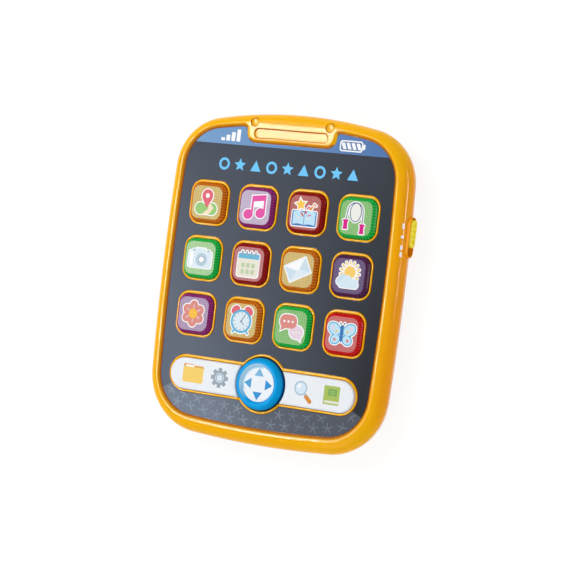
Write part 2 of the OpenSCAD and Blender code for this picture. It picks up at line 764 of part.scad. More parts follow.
// Rear shell: rounded walls, the flat back, the bay, the screw tubes and the speaker's seat
speaker_at = [0, -speaker_drop];
tube_d = boss_d + 2;
clamp_ear_x = speaker_d / 2 + 5;
seat_ring_t = 1.5;
seat_ring_h = 2.2;
ear_boss_d = 5.6;
grille_hole_d = 2.4;
grille_rings = 3;
grille_pitch = 4.6;
module rear_walls() {
    steps = [for (k = [0 : rear_steps]) 90 * k / rear_steps];
    outer = [for (a = steps)
        at_height(outline(inset(case_plan, rear_round * (1 - sin(a)))), seam_z * (1 - cos(a)))];
    inner = [for (a = steps)
        at_height(outline(inset(case_plan, wall + rear_round * (1 - sin(a)))),
            floor_t + fit_gap + (seam_z - floor_t - fit_gap) * (1 - cos(a)))];
    flat = at_height(outline(inset(case_plan, wall + rear_round)), 0);
    ring_solid(concat([flat], outer, [for (k = [rear_steps : -1 : 0]) inner[k]]));
}
module rear_case() color("darkorange") difference() {
    union() {
        rear_walls();
        between(0, floor_t) polygon(outline(inset(case_plan, rear_round + wall / 2)));
        for (p = case_screw_at)
            translate(p) between(floor_t - overlap, boss_meet_z - seat_gap) circle(d = tube_d);
        translate([0, bay_y]) between(floor_t - overlap, bay_top + bay_wall)
            square([bay_len + 2 * bay_wall, bay_w + 2 * bay_wall], center = true);
        translate([0, door_screw_y]) between(floor_t - overlap, door_boss_z) circle(d = door_boss_d);
        translate(speaker_at) between(floor_t - overlap, floor_t + seat_ring_h) {
            difference() {
                circle(d = speaker_d + 2 * seat_ring_t + 2 * fit_gap);
                circle(d = speaker_d + 2 * fit_gap);
            }
            for (x = [-1, 1])
                translate([x * clamp_ear_x, 0]) circle(d = ear_boss_d);
        }
    }
    for (p = case_screw_at) {
        translate(p) between(-1, screw_seat_z) circle(d = screw_head_d + well_gap);
        translate(p) between(-1, boss_meet_z + 1) circle(d = screw_d + well_gap);
    }
    translate([0, bay_y]) between(-1, bay_top) square([bay_len, bay_w], center = true);
    translate([0, door_y]) between(-1, door_t + seat_gap)
        pad(door_w + 2 * door_gap, door_h + 2 * door_gap, door_r + door_gap);
    hooks(door_gap);
    translate([0, door_screw_y]) between(-1, door_boss_z - 1) circle(d = board_screw_d + fit_gap);
    for (x = [-1, 1], y = [-1, 1])
        translate([x * (bay_len / 2 + tag[0] / 2), bay_y + y * cell_pitch / 2, tag_z + tag[2] / 2])
            cube([tag[0] + 2, tag[1] + 2 * fit_gap, tag[2] + 2 * fit_gap], center = true);
    translate(speaker_at) between(-1, floor_t + 1) {
        circle(d = grille_hole_d);
        for (ring = [1 : grille_rings], k = [0 : 6 * ring - 1])
            rotate(60 * k / ring) translate([ring * grille_pitch, 0]) circle(d = grille_hole_d);
    }
    for (x = [-1, 1])
        translate(speaker_at + [x * clamp_ear_x, 0])
            between(floor_t, floor_t + seat_ring_h + 1) circle(d = board_screw_d + fit_gap);
    side_oval(switch_len + 2 * fit_gap, switch_w + 2 * fit_gap,
        case_w / 2 - side_cut_in, case_w / 2 + side_cut_out);
}

// Speaker, facing the holes in the back, with the ring that clamps it
speaker_z = floor_t + seat_gap;
flange_in = 3.5;
speaker_flange_t = 1;
basket_t = 0.8;
basket_slant = 0.6;
solder_tag = 5;
magnet_d = speaker_d / 2;
module speaker_basket() color("gray") translate([speaker_at[0], speaker_at[1], speaker_z]) {
    r = speaker_d / 2;
    back_r = magnet_d / 2 + basket_t;
    back_z = speaker_depth - basket_t;
    rotate_extrude() polygon([[r - flange_in, 0], [r, 0], [r, speaker_flange_t],
        [r - flange_in + basket_t, speaker_flange_t], [back_r, back_z], [back_r, speaker_depth],
        [0, speaker_depth], [0, back_z], [back_r - basket_slant, back_z], [r - flange_in, speaker_flange_t]]);
    translate([back_r - overlap, 0, speaker_depth - basket_t / 2]) linear_extrude(basket_t)
        translate([solder_tag / 2, 0]) square(solder_tag, center = true);
}
module speaker_magnet() color("dimgray")
    translate([speaker_at[0], speaker_at[1], speaker_z + speaker_depth + seat_gap])
        cylinder(d = magnet_d, h = magnet_h);
cone_hub_r = magnet_d / 4;
cone_t = 0.5;
cone_z = 0.4;
cone_rise = 2.2;
module speaker_cone() color("black") translate([speaker_at[0], speaker_at[1], speaker_z + cone_z]) {
    r = speaker_d / 2 - flange_in - rest_gap;
    lip = 4 * cone_t;
    rotate_extrude() polygon([[0, cone_rise - cone_t], [cone_hub_r, cone_rise], [r - lip, 0], [r, 0],
        [r, cone_t], [r - lip, cone_t], [cone_hub_r, cone_rise + cone_t], [0, cone_rise]]);
}
clamp_low = floor_t + seat_ring_h + seat_gap;
clamp_t = 1.2;
clamp_open_d = speaker_d - 2 * flange_in + 2;
module speaker_clamp() color("white") translate(speaker_at) difference() {
    union() {
        between(clamp_low, clamp_low + clamp_t) difference() {
            union() {
                circle(d = speaker_d + 2 * seat_ring_t);
                square([2 * clamp_ear_x, ear_boss_d], center = true);
                for (x = [-1, 1])
                    translate([x * clamp_ear_x, 0]) circle(d = ear_boss_d);
            }
            circle(d = clamp_open_d);
        }
        between(speaker_z + speaker_flange_t + seat_gap, clamp_low + overlap) difference() {
            circle(d = speaker_d);
            circle(d = clamp_open_d);
        }
    }
    for (x = [-1, 1])
        translate([x * clamp_ear_x, 0]) between(floor_t, clamp_low + clamp_t + 1)
            circle(d = board_screw_d + well_gap);
}
module speaker_screws() color("silver")
    for (x = [-1, 1])
        translate(concat(speaker_at + [x * clamp_ear_x, 0], clamp_low + clamp_t + seat_gap + small_head_h))
            mirror([0, 0, 1])
                screw(2 * board_screw_d, small_head_h, board_screw_d, clamp_t + 0.8 * seat_ring_h);
module case_screws() color("silver")
    for (p = case_screw_at)
        translate([p[0], p[1], screw_seat_z - screw_head_h - seat_gap])
            screw(screw_head_d, screw_head_h, screw_d, screw_floor + case_screw_len - screw_end_room);

// Leads inside: wires along points chosen by hand, with a bead at each bend
module wire(points) {
    for (k = [1 : len(points) - 1])
        rod(points[k - 1], points[k], wire_d);
    for (k = [1 : len(points) - 2])
        translate(points[k]) sphere(d = wire_d + 2 * fit_gap);
}
solder_z = speaker_z + speaker_depth + basket_t / 2 + seat_gap;
lead_rise = 1.6;
lead_out = 7;
module speaker_lead() color("red") {
    x = magnet_d / 2 + 3 * wire_d;
    for (y = [-1, 1])
        translate([x, speaker_at[1] + y * wire_d, 0])
            wire([[0, 0, solder_z], [0, 0, solder_z + lead_rise],
                [lead_out, 3 * wire_d, solder_z + 1.2 * lead_rise],
                [lead_out, 3 * wire_d, board_low - seat_gap]]);
}
module battery_lead() color("red") {
    x = bay_len / 2 + bay_wall + 1.7 * wire_d;
    z = tag_z + tag[2] + wire_d / 2 + seat_gap;
    end_y = board_head - 2.5 * wire_d;
    apart = 2.5 * wire_d;
    for (k = [0, 1]) {
        y = bay_y + (k - 0.5) * cell_pitch;
        wire([[x, y, z], [x + apart * k, y - apart, z], [x + apart * k, end_y, z],
            [x + apart * k, end_y, board_low - seat_gap]]);
    }
}

front_case();
rear_case();
screen_label();
for (i = [0 : key_count - 1])
    app_button(i);
menu_key(-1);  // menu_key_left
menu_key(1);  // menu_key_right
nav_knob();
nav_face();
nav_cross();
nav_yoke();
switch_collar();
switch_slider();
switch_lever();
switch_body();
rubber_keypad();
light_box();
main_board();
key_lights();
board_parts();
board_screws();
battery_door();
door_screw();
battery(0);  // battery_1
battery(1);  // battery_2
battery_contacts();
speaker_basket();
speaker_magnet();
speaker_cone();
speaker_clamp();
speaker_screws();
case_screws();
speaker_lead();
battery_lead();
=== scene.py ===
"""Looks of the toy tablet: a smooth rim, rounded collars, clear keys with printed pictures,
the menu bar, the knob and the switch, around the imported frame. Sizes are in millimetres."""

import json
import math

import bmesh
import bpy
from mathutils import Matrix, Vector

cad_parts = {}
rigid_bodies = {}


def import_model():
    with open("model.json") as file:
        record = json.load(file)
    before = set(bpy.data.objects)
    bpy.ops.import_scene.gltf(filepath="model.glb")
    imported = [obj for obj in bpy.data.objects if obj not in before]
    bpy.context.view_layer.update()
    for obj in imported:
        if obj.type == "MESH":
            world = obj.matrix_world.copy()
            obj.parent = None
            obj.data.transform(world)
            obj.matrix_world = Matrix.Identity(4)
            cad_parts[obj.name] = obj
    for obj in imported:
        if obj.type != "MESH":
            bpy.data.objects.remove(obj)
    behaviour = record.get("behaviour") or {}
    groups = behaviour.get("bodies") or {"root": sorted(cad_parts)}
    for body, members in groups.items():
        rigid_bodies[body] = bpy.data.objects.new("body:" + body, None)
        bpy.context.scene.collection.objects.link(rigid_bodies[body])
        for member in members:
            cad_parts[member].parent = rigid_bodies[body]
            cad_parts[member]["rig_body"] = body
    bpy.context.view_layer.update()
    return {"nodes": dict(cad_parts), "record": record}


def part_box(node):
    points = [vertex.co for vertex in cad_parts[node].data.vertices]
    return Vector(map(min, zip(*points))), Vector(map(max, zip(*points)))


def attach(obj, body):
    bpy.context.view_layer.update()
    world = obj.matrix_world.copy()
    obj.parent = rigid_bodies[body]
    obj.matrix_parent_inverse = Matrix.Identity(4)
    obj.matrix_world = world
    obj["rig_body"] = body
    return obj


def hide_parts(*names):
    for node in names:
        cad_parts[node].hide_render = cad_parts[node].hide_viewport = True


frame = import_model()
nodes = frame["nodes"]

MM = 0.001
SMOOTH = math.radians(32)
REAR_SMOOTH = math.radians(30)
SHARP = math.radians(40)
FLAT = math.radians(1)
JOIN = 0.0005
CAD_JOIN = 0.002


def span(node):
    """Lowest and highest corner of a CAD node."""
    low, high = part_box(node)
    return low / MM, high / MM


def middle(node):
    low, high = span(node)
    return (low + high) / 2


def rgb(red, green, blue):
    """A screen colour of 0 to 255 as the linear colour that shaders take."""
    def linear(value):
        share = value / 255
        return share / 12.92 if share <= 0.04045 else ((share + 0.055) / 1.055) ** 2.4
    return (linear(red), linear(green), linear(blue), 1.0)


def between(share, low, high):
    return share * (high - low) + low


def shade(colour, factor):
    """A colour made darker or lighter by a factor."""
    return tuple(min(1.0, part * factor) for part in colour[:3]) + (1.0,)


def shades(colour, factors):
    return [shade(colour, factor) for factor in factors]


# Shader maths

class Value:
    """A shader socket that takes plain arithmetic."""

    def __init__(self, paint, socket):
        self.paint = paint
        self.socket = socket

    def math(self, operation, first, second=0.0):
        return self.paint.node("ShaderNodeMath", {"operation": operation}, {0: first, 1: second})

    def __add__(self, other):
        return self.math("ADD", self, other)

    def __sub__(self, other):
        return self.math("SUBTRACT", self, other)

    def __rsub__(self, other):
        return self.math("SUBTRACT", other, self)

    def __mul__(self, other):
        return self.math("MULTIPLY", self, other)

    def __truediv__(self, other):
        return self.math("DIVIDE", self, other)

    def __pow__(self, other):
        return self.math("POWER", self, other)

    def __gt__(self, other):
        return self.math("GREATER_THAN", self, other)

    def __lt__(self, other):
        return self.math("LESS_THAN", self, other)

    def wave(self, pitch):
        """A wave from 0 to 1 that repeats every pitch millimetres."""
        return self.math("SINE", self * (2 * math.pi / pitch), 0.0) * 0.5 + 0.5

    __radd__ = __add__
    __rmul__ = __mul__


class Paint:
    """One material, with the constants of its shader set by name."""

    def __init__(self, name, **constants):
        self.material = bpy.data.materials.new(name)
        self.material.use_nodes = True
        self.tree = self.material.node_tree
        self.shader = self.tree.nodes["Principled BSDF"]
        for key, value in constants.items():
            self.shader.inputs[key.replace("_", " ")].default_value = value

    def node(self, kind, settings, sockets, out=0):
        made = self.tree.nodes.new(kind)
        for key, value in settings.items():
            setattr(made, key, value)
        for key, value in sockets.items():
            self.feed(made.inputs[key], value)
        return Value(self, made.outputs[out])

    def feed(self, socket, value):
        if isinstance(value, Value):
            self.tree.links.new(value.socket, socket)
        else:
            socket.default_value = value

    def place(self):
        """Object coordinates in millimetres."""
        metres = self.node("ShaderNodeTexCoord", {}, {}, "Object")
        return self.node("ShaderNodeVectorMath", {"operation": "SCALE"}, {0: metres, "Scale": 1 / MM})

    def normal(self):
        return self.node("ShaderNodeNewGeometry", {}, {}, "Normal")

    def split(self, vector):
        return [self.node("ShaderNodeSeparateXYZ", {}, {0: vector}, axis) for axis in "XYZ"]

    def axes(self):
        return self.split(self.place())

    def dot(self, first, second):
        settings = {"operation": "DOT_PRODUCT"}
        return self.node("ShaderNodeVectorMath", settings, {0: first, 1: second}, "Value")

    def ramp(self, value, low, high, first=0.0, last=1.0):
        """Goes from the first number to the last while a value goes from low to high."""
        sockets = {"Value": value, "From Min": low, "From Max": high, "To Min": first, "To Max": last}
        return self.node("ShaderNodeMapRange", {}, sockets)

    def noise(self, size, detail=2.0):
        """Soft noise with spots of about a size in millimetres."""
        sockets = {"Vector": self.place(), "Scale": 1 / size, "Detail": detail}
        return self.node("ShaderNodeTexNoise", {}, sockets)

    def mix(self, share, first, second):
        return self.node("ShaderNodeMix", {"data_type": "RGBA"}, {0: share, 6: first, 7: second}, 2)

    def bump(self, height, depth):
        """Depth in millimetres for a height from 0 to 1."""
        sockets = {"Strength": 1.0, "Distance": depth * MM, "Height": height}
        return self.node("ShaderNodeBump", {}, sockets, "Normal")

    def set(self, **inputs):
        for key, value in inputs.items():
            self.feed(self.shader.inputs[key.replace("_", " ")], value)
        return self


# Colours

ORANGE = rgb(246, 178, 2)
# Painted shade: a redder orange for the shaded right side
RIGHT_SHADE_ORANGE = rgb(250, 160, 2)
# Painted shade: the red-brown of the shaded walls beside the screen, in the tab's recesses and at the collars
PAINTED_SHADE_BROWN = rgb(160, 58, 8)
KNOB_BLUE = rgb(2, 162, 232)
# Painted shade for the knob's skirt, and a painted highlight for its dish
SKIRT_SHADE_BLUE = rgb(3, 78, 136)
DISH_HIGHLIGHT_BLUE = rgb(178, 220, 242)
INK_HAZE = rgb(150, 152, 156)
SHEET_HAZE = rgb(104, 110, 120)
# Tones of the printed sheet where it is darkest and where it is palest; the change between them is painted
# sheen
SCREEN_TONES = (rgb(44, 47, 52), rgb(99, 107, 122))
STRIP_TONES = (rgb(79, 117, 174), rgb(125, 165, 208))
FIELD_TONES = (rgb(85, 89, 98), rgb(120, 130, 146))
KEY_SIDES = {
    "amber": rgb(208, 108, 14),
    "purple": rgb(141, 38, 114),
    "dark_red": rgb(148, 10, 12),
    "green": rgb(20, 182, 70),
    "red": rgb(210, 16, 18),
    "violet": rgb(80, 32, 76),
}
# The tops are painted much paler than the sides: a painted reflection over the plastic's own colour
KEY_TOPS = {
    "honey": rgb(208, 183, 119),
    "lilac": rgb(194, 178, 202),
    "brick": rgb(183, 107, 103),
    "grass": rgb(140, 190, 122),
    "mint": rgb(168, 206, 154),
    "rose": rgb(190, 125, 126),
    "grape": rgb(109, 91, 127),
    "plum": rgb(174, 152, 181),
    "coral": rgb(201, 113, 112),
}
INKS = {
    "white": rgb(248, 249, 250),
    "pin": rgb(224, 104, 116),
    "leaf": rgb(150, 202, 120),
    "cream": rgb(250, 226, 196),
    "pink": rgb(228, 84, 166),
    "sky": rgb(190, 226, 246),
    "navy": rgb(58, 118, 182),
    "gold": rgb(250, 200, 78),
    "orange": rgb(236, 150, 60),
    "brick": rgb(214, 84, 74),
    "slate": rgb(96, 112, 134),
    "magenta": rgb(214, 24, 136),
    "mist": rgb(222, 234, 242),
    "steel": rgb(168, 192, 206),
    "day": rgb(104, 182, 216),
    "paper": rgb(232, 228, 213),
    "pale": rgb(238, 238, 233),
    "sage": rgb(190, 206, 166),
    "fold": rgb(204, 224, 236),
    "sun": rgb(248, 206, 108),
    "cloud": rgb(214, 232, 244),
    "salmon": rgb(218, 140, 131),
    "blush": rgb(231, 211, 224),
    "clock": rgb(84, 176, 216),
    "gear": rgb(156, 168, 180),
    "folder": rgb(246, 208, 108),
    "manila": rgb(226, 164, 84),
    "wood": rgb(220, 140, 56),
    "book": rgb(170, 193, 92),
    "moss": rgb(112, 168, 96),
    "arrow": rgb(48, 148, 214),
    # Painted highlight: the arrows at the top and left are paler
    "arrow_top_highlight": rgb(122, 182, 220),
    "arrow_left_highlight": rgb(78, 162, 214),
    # Painted shade: the light blue arc at the upper left edge of the knob's face
    "haze": rgb(172, 214, 238),
    "row_blue": rgb(112, 200, 250),
    "star_left": rgb(142, 154, 169),
    "star_inner": rgb(132, 143, 158),
    "star_middle": rgb(118, 128, 142),
    "star_right": rgb(106, 115, 129),
    "strip": rgb(82, 116, 170),
}


# Places that both a finish and a shape use

PILL_Y = 86.35
PILL_HALF = (24.8, 2.75)
DIMPLE_AT = (25.6, 92.9)
DIMPLE_R = 3.0
DIMPLE_EDGE = 0.1
KNOB_AT = middle("nav_knob")
STRIP_Y = 78.4
FIELD_DROP = 195.1
FIELD_RADIUS = 140.0


# Finishes: sizes and depths in millimetres, shares and strengths from 0 to 1

CLOUD_SIZE = 9.0
FINE_DETAIL = 3.0
GRAIN_SIZE = 0.5
GRAIN_DEPTH = 0.004
ROUGH_SPREAD = 0.12
CLOUD_SHADES = (0.95, 1.05)

ORANGE_GRAIN = 0.6
ORANGE_DEPTH = 0.003
ORANGE_SHADES = (0.98, 1.02)
ORANGE_SHINE = 0.1
ORANGE_ROUGH = (0.06, 0.11)
# Painted shade: the orange turns redder between these x positions towards the right side
RIGHT_SHADE_X = (74.0, 82.0)
# Painted shade in red-brown: beside the screen, in the walls of the tab's recesses and on the collars
PAINTED_SHADE_SHARE = 0.92
PAINTED_SHADE_POWER = 0.6
SHELL_SHADE_Z = (19.0, 20.25)
SHELL_SHADE_UNDER = 0.6
INWARD = -4.0
PILL_ROOM = 1.0
STEEP = 0.92
RECESS_SHADE_SHARE = 0.5
# Painted shade on the collars: at their foot and on their sides that face right
COLLAR_SHADE_Z = (18.5, 19.35)
RIGHT_FACING_SHADE_SHARE = 0.5

RIB_PITCH = 1.7
RIB_DEPTH = 0.12
RIB_SHARE = 0.75
# Painted shade in the grooves and painted highlight on the ribs
RIB_SHADE_AND_HIGHLIGHT = (0.5, 1.35)
RIB_ROUGH = (0.22, 0.42)
SPOT_SIZE = 0.45
WEAVE_PITCH = 1.3
WEAVE_DEPTH = 0.02
WEAVE_SHARE = 0.75
WEAVE_SHADES = (0.76, 1.3)
HAZE_SIZE = 3.0
HAZE_SHARE = 0.4
TOP_ROUGH = (0.34, 0.54)

# Painted sheen that makes the sheet paler to the left and to the foot: its share at the middle, and the runs
# in millimetres
PAINTED_SHEEN_MIDDLE = 0.48
PAINTED_SHEEN_LEFT = 165
PAINTED_SHEEN_FOOT = 500
PAINTED_SHEEN_CORNER = 20000
STRIP_SHEEN_MIDDLE = 0.5
STRIP_SHEEN_RUN = 150
SHEET_GRAIN = 0.35
SHEET_GRAIN_SHARE = 0.08
SHEET_DEPTH = 0.003
SHEET_CLOUD = 40.0
SHEET_CLOUD_SHARE = 0.04
SHEET_ROUGH = (0.36, 0.48)
INK_GRAIN_SHARE = 0.07
INK_ROUGH = (0.36, 0.52)

DOT_SIZE = 0.5
DOT_DEPTH = 0.03
DOT_SCATTER = 0.4
DOT_SHARE = 0.5
DOT_SHADES = (1.1, 0.78)
DOT_ROUGH = (0.3, 0.5)
KNOB_CLOUD = 6.0
KNOB_CLOUD_SHARE = 0.4
# Painted shade on the knob's skirt below these heights, and a painted highlight in its dish towards the upper
# left
SKIRT_SHADE_Z = (19.8, 21.4)
DISH_R = 12.2
DISH_HIGHLIGHT_SHIFT = 3.0
DISH_HIGHLIGHT_FADE = 0.07

SCRATCH_SIZE = 0.6
SCRATCH_DETAIL = 4.0
METAL_SHADES = (0.85, 1.1)
METAL_SPREAD = 0.2


def moulded(name, colour, rough, depth=GRAIN_DEPTH, **constants):
    """Moulded plastic: slightly cloudy colour, fine grain, roughness that varies with it."""
    paint = Paint(name, **constants)
    cloud = paint.noise(CLOUD_SIZE)
    fine = paint.noise(GRAIN_SIZE, FINE_DETAIL)
    return paint.set(
        Base_Color=paint.mix(cloud, *shades(colour, CLOUD_SHADES)),
        Roughness=fine * ROUGH_SPREAD + (rough - ROUGH_SPREAD / 2),
        Normal=paint.bump(fine, depth)).material


def glossy_orange(paint, x, painted_shade):
    """Glossy orange plastic with painted shade: redder towards the right side, and red-brown by a share of
    painted shade.
    """
    cloud = paint.noise(CLOUD_SIZE)
    fine = paint.noise(ORANGE_GRAIN, FINE_DETAIL)
    plain = paint.mix(cloud, *shades(ORANGE, ORANGE_SHADES))
    # Painted shade: redder towards the right side
    orange = paint.mix(paint.ramp(x, *RIGHT_SHADE_X), plain, RIGHT_SHADE_ORANGE)
    return paint.set(
        Base_Color=paint.mix(painted_shade * PAINTED_SHADE_SHARE, orange, PAINTED_SHADE_BROWN),
        Roughness=between(fine, *ORANGE_ROUGH),
        Normal=paint.bump(fine, ORANGE_DEPTH)).material


def shell_orange():
    """The shell, with painted shade beside the screen and in the walls of the tab's recesses."""
    paint = Paint("shell", Specular_IOR_Level=ORANGE_SHINE)
    x, y, z = paint.axes()
    normal = paint.normal()
    low, high = SHELL_SHADE_Z
    inward = paint.dot(normal, paint.place()) < INWARD
    # Painted shade on the walls that face in beside the screen, fading upwards
    painted_shade = paint.ramp(z, low, high, 1.0, 0.0) ** PAINTED_SHADE_POWER * inward * (z > low - SHELL_SHADE_UNDER)
    half_x, half_y = (half + PILL_ROOM for half in PILL_HALF)
    in_pill = (x * x < half_x ** 2) * (y > PILL_Y - half_y) * (y < PILL_Y + half_y)
    aside = (x * x) ** 0.5 - DIMPLE_AT[0]
    above = y - DIMPLE_AT[1]
    in_dimple = aside * aside + above * above < (DIMPLE_R + DIMPLE_EDGE) ** 2
    # Painted shade on the steep walls of the pill and the dimples
    recess_shade = (in_pill + in_dimple) * (paint.dot(normal, (0, 0, 1)) < STEEP)
    return glossy_orange(paint, x, painted_shade + recess_shade * RECESS_SHADE_SHARE)


def collar_orange():
    """The collars, with painted shade at their foot and on the sides that face right."""
    paint = Paint("collar", Specular_IOR_Level=ORANGE_SHINE)
    x, y, z = paint.axes()
    facing = paint.dot(paint.normal(), (1, 0, 0))
    # Painted shade at the foot, and on the sides that face right
    painted_shade = paint.ramp(z, *COLLAR_SHADE_Z, 1.0, 0.0)
    return glossy_orange(paint, x, painted_shade + facing * RIGHT_FACING_SHADE_SHARE)


def key_side(name, colour):
    """Clear coloured plastic with fine upright ribs and random spots; the ribs carry painted shade in the
    grooves and a painted highlight on their tops.
    """
    paint = Paint(name, Specular_IOR_Level=0.1, Coat_Weight=0.05, Coat_Roughness=0.12)
    x, y = paint.axes()[:2]
    look_x, look_y = paint.split(paint.normal())[:2]
    to_side = look_x * look_x > look_y * look_y
    ribs = y.wave(RIB_PITCH) * to_side + x.wave(RIB_PITCH) * (1.0 - to_side)
    spots = paint.noise(SPOT_SIZE)
    share = ribs * RIB_SHARE + spots * (1 - RIB_SHARE)
    return paint.set(
        Base_Color=paint.mix(share, *shades(colour, RIB_SHADE_AND_HIGHLIGHT)),
        Roughness=between(spots, *RIB_ROUGH),
        Normal=paint.bump(ribs, RIB_DEPTH)).material


def key_top(name, colour):
    """The flat top, which shows a fine woven pattern through the clear plastic; its colour is painted paler
    than the sides as a painted reflection.
    """
    paint = Paint(name, Specular_IOR_Level=0.015)
    x, y = paint.axes()[:2]
    weave = x.wave(WEAVE_PITCH) * y.wave(WEAVE_PITCH)
    haze = paint.noise(HAZE_SIZE)
    share = weave * WEAVE_SHARE + haze * HAZE_SHARE
    return paint.set(
        Base_Color=paint.mix(share, *shades(colour, WEAVE_SHADES)),
        Roughness=between(haze, *TOP_ROUGH),
        Normal=paint.bump(weave, WEAVE_DEPTH)).material


def printed_sheet():
    """The screen: dark grey, a blue strip at the head and a paler field at the foot, all with painted sheen
    that pales them towards the left.
    """
    paint = Paint("printed_sheet", Specular_IOR_Level=0.003)
    x, y = paint.axes()[:2]
    grain = paint.noise(SHEET_GRAIN, FINE_DETAIL)
    cloud = paint.noise(SHEET_CLOUD)
    # Painted sheen: paler to the left and to the foot, on the screen, the strip and the field
    pale = PAINTED_SHEEN_MIDDLE - x / PAINTED_SHEEN_LEFT - y / PAINTED_SHEEN_FOOT + x * y / PAINTED_SHEEN_CORNER
    up = y + FIELD_DROP
    in_field = x * x + up * up < FIELD_RADIUS ** 2
    screen = paint.mix(pale, *SCREEN_TONES)
    field = paint.mix(pale * pale, *FIELD_TONES)
    strip = paint.mix(STRIP_SHEEN_MIDDLE - x / STRIP_SHEEN_RUN, *STRIP_TONES)
    colour = paint.mix(y > STRIP_Y, paint.mix(in_field, screen, field), strip)
    return paint.set(
        Base_Color=paint.mix(grain * SHEET_GRAIN_SHARE + cloud * SHEET_CLOUD_SHARE, colour, SHEET_HAZE),
        Roughness=between(grain, *SHEET_ROUGH),
        Normal=paint.bump(grain, SHEET_DEPTH)).material


def ink():
    """Printing ink in the colour that each face carries."""
    paint = Paint("ink", Specular_IOR_Level=0.01)
    colour = paint.node("ShaderNodeAttribute", {"attribute_name": "ink"}, {}, "Color")
    grain = paint.noise(GRAIN_SIZE, FINE_DETAIL)
    return paint.set(
        Base_Color=paint.mix(grain * INK_GRAIN_SHARE, colour, INK_HAZE),
        Roughness=between(grain, *INK_ROUGH),
        Normal=paint.bump(grain, GRAIN_DEPTH)).material


def knob_plastic():
    """Blue plastic with the raised dots of a grip, painted shade on the skirt, and a painted highlight that
    makes the dish pale to the upper left.
    """
    paint = Paint("knob_blue", Specular_IOR_Level=0.045)
    x, y, z = paint.axes()
    sockets = {"Vector": paint.place(), "Scale": 1 / DOT_SIZE, "Randomness": DOT_SCATTER}
    dots = paint.node("ShaderNodeTexVoronoi", {}, sockets)
    share = dots * DOT_SHARE + paint.noise(KNOB_CLOUD) * KNOB_CLOUD_SHARE
    spotted = paint.mix(share, *shades(KNOB_BLUE, DOT_SHADES))
    # Painted shade on the skirt
    body = paint.mix(paint.ramp(z, *SKIRT_SHADE_Z), SKIRT_SHADE_BLUE, spotted)
    across = x - KNOB_AT[0]
    up = y - KNOB_AT[1]
    in_dish = (across * across + up * up < DISH_R ** 2) * (z > SKIRT_SHADE_Z[1])
    # Painted highlight in the dish, towards the upper left
    pale = in_dish * (up - across + DISH_HIGHLIGHT_SHIFT) * DISH_HIGHLIGHT_FADE
    return paint.set(
        Base_Color=paint.mix(pale, body, DISH_HIGHLIGHT_BLUE),
        Roughness=between(dots, *DOT_ROUGH),
        Normal=paint.bump(1.0 - dots, DOT_DEPTH)).material


def metal(name, colour, rough):
    """Bare metal with fine scratches."""
    paint = Paint(name, Metallic=1.0)
    scratch = paint.noise(SCRATCH_SIZE, SCRATCH_DETAIL)
    return paint.set(
        Base_Color=paint.mix(scratch, *shades(colour, METAL_SHADES)),
        Roughness=scratch * METAL_SPREAD + rough,
        Normal=paint.bump(scratch, GRAIN_DEPTH)).material


shell = shell_orange()
collar_paint = collar_orange()
sheet = printed_sheet()
ink_paint = ink()
bar_white = moulded("bar_white", rgb(231, 235, 240), 0.3, Specular_IOR_Level=0.018)
knob_blue = knob_plastic()
face_white = moulded("face_white", rgb(233, 238, 243), 0.3, Specular_IOR_Level=0.018)
slider_yellow = moulded("slider_yellow", rgb(255, 234, 46), 0.32, Specular_IOR_Level=0.15)
mark_white = moulded("mark_white", rgb(244, 240, 230), 0.4)
sides = {name: key_side(f"{name}_side", colour) for name, colour in KEY_SIDES.items()}
tops = {name: key_top(f"{name}_top", colour) for name, colour in KEY_TOPS.items()}

# Finishes of the inner pieces, by the record's material slots
INNER = {
    "steel": metal("steel", rgb(196, 198, 202), 0.25),
    "inner_plastic": moulded("inner_plastic", rgb(226, 226, 222), 0.45),
    "keypad": moulded("keypad", rgb(176, 178, 180), 0.6, depth=0.01),
    "board": moulded("board", rgb(28, 92, 52), 0.4, depth=0.01),
    "light": moulded("light", rgb(250, 240, 200), 0.3),
    "chip": moulded("chip", rgb(34, 34, 38), 0.5, depth=0.01),
    "cell": moulded("cell", rgb(60, 130, 92), 0.35),
    "basket": metal("basket", rgb(150, 152, 156), 0.35),
    "magnet": metal("magnet", rgb(96, 98, 102), 0.4),
    "cone": moulded("cone", rgb(40, 40, 42), 0.7, depth=0.02),
    "lead": moulded("lead", rgb(178, 40, 36), 0.45),
    "shell": shell,
    "slider": slider_yellow,
}


# Mesh helpers

def ring_edges(bm, ring):
    return [bm.edges.get(pair) for pair in zip(ring, ring[1:] + ring[:1])]


def extend(bm, ring, points):
    """Extrudes a closed ring of vertices to new points and returns the new ring."""
    made = bmesh.ops.extrude_edge_only(bm, edges=ring_edges(bm, ring))["geom"]
    fresh = {v for v in made if isinstance(v, bmesh.types.BMVert)}
    partners = [next(e.other_vert(v) for e in v.link_edges if e.other_vert(v) in fresh) for v in ring]
    for vert, point in zip(partners, points):
        vert.co = point
    return partners


def start_ring(bm, points):
    ring = [bm.verts.new(point) for point in points]
    for a, b in zip(ring, ring[1:] + ring[:1]):
        bm.edges.new((a, b))
    return ring


def cap(bm, ring):
    """Fills a ring and returns its faces."""
    return bmesh.ops.contextual_create(bm, geom=ring_edges(bm, ring))["faces"]


def sweep(bm, rings, closed=False):
    """A skin through rings of points, closed into a tube ring or capped at both ends."""
    first = ring = start_ring(bm, rings[0])
    for points in rings[1:]:
        ring = extend(bm, ring, points)
    if closed:
        extend(bm, ring, rings[0])
    else:
        cap(bm, first)
        cap(bm, ring)


def lathe(bm, profile, centre, steps=96):
    """Turns a profile of (radius, height) round an upright axis."""
    verts = [bm.verts.new((centre[0] + radius, centre[1], height)) for radius, height in profile]
    edges = [bm.edges.new(pair) for pair in zip(verts, verts[1:])]
    bmesh.ops.spin(bm, geom=verts + edges, cent=(centre[0], centre[1], 0), axis=(0, 0, 1),
                   angle=2 * math.pi, steps=steps, use_merge=True)


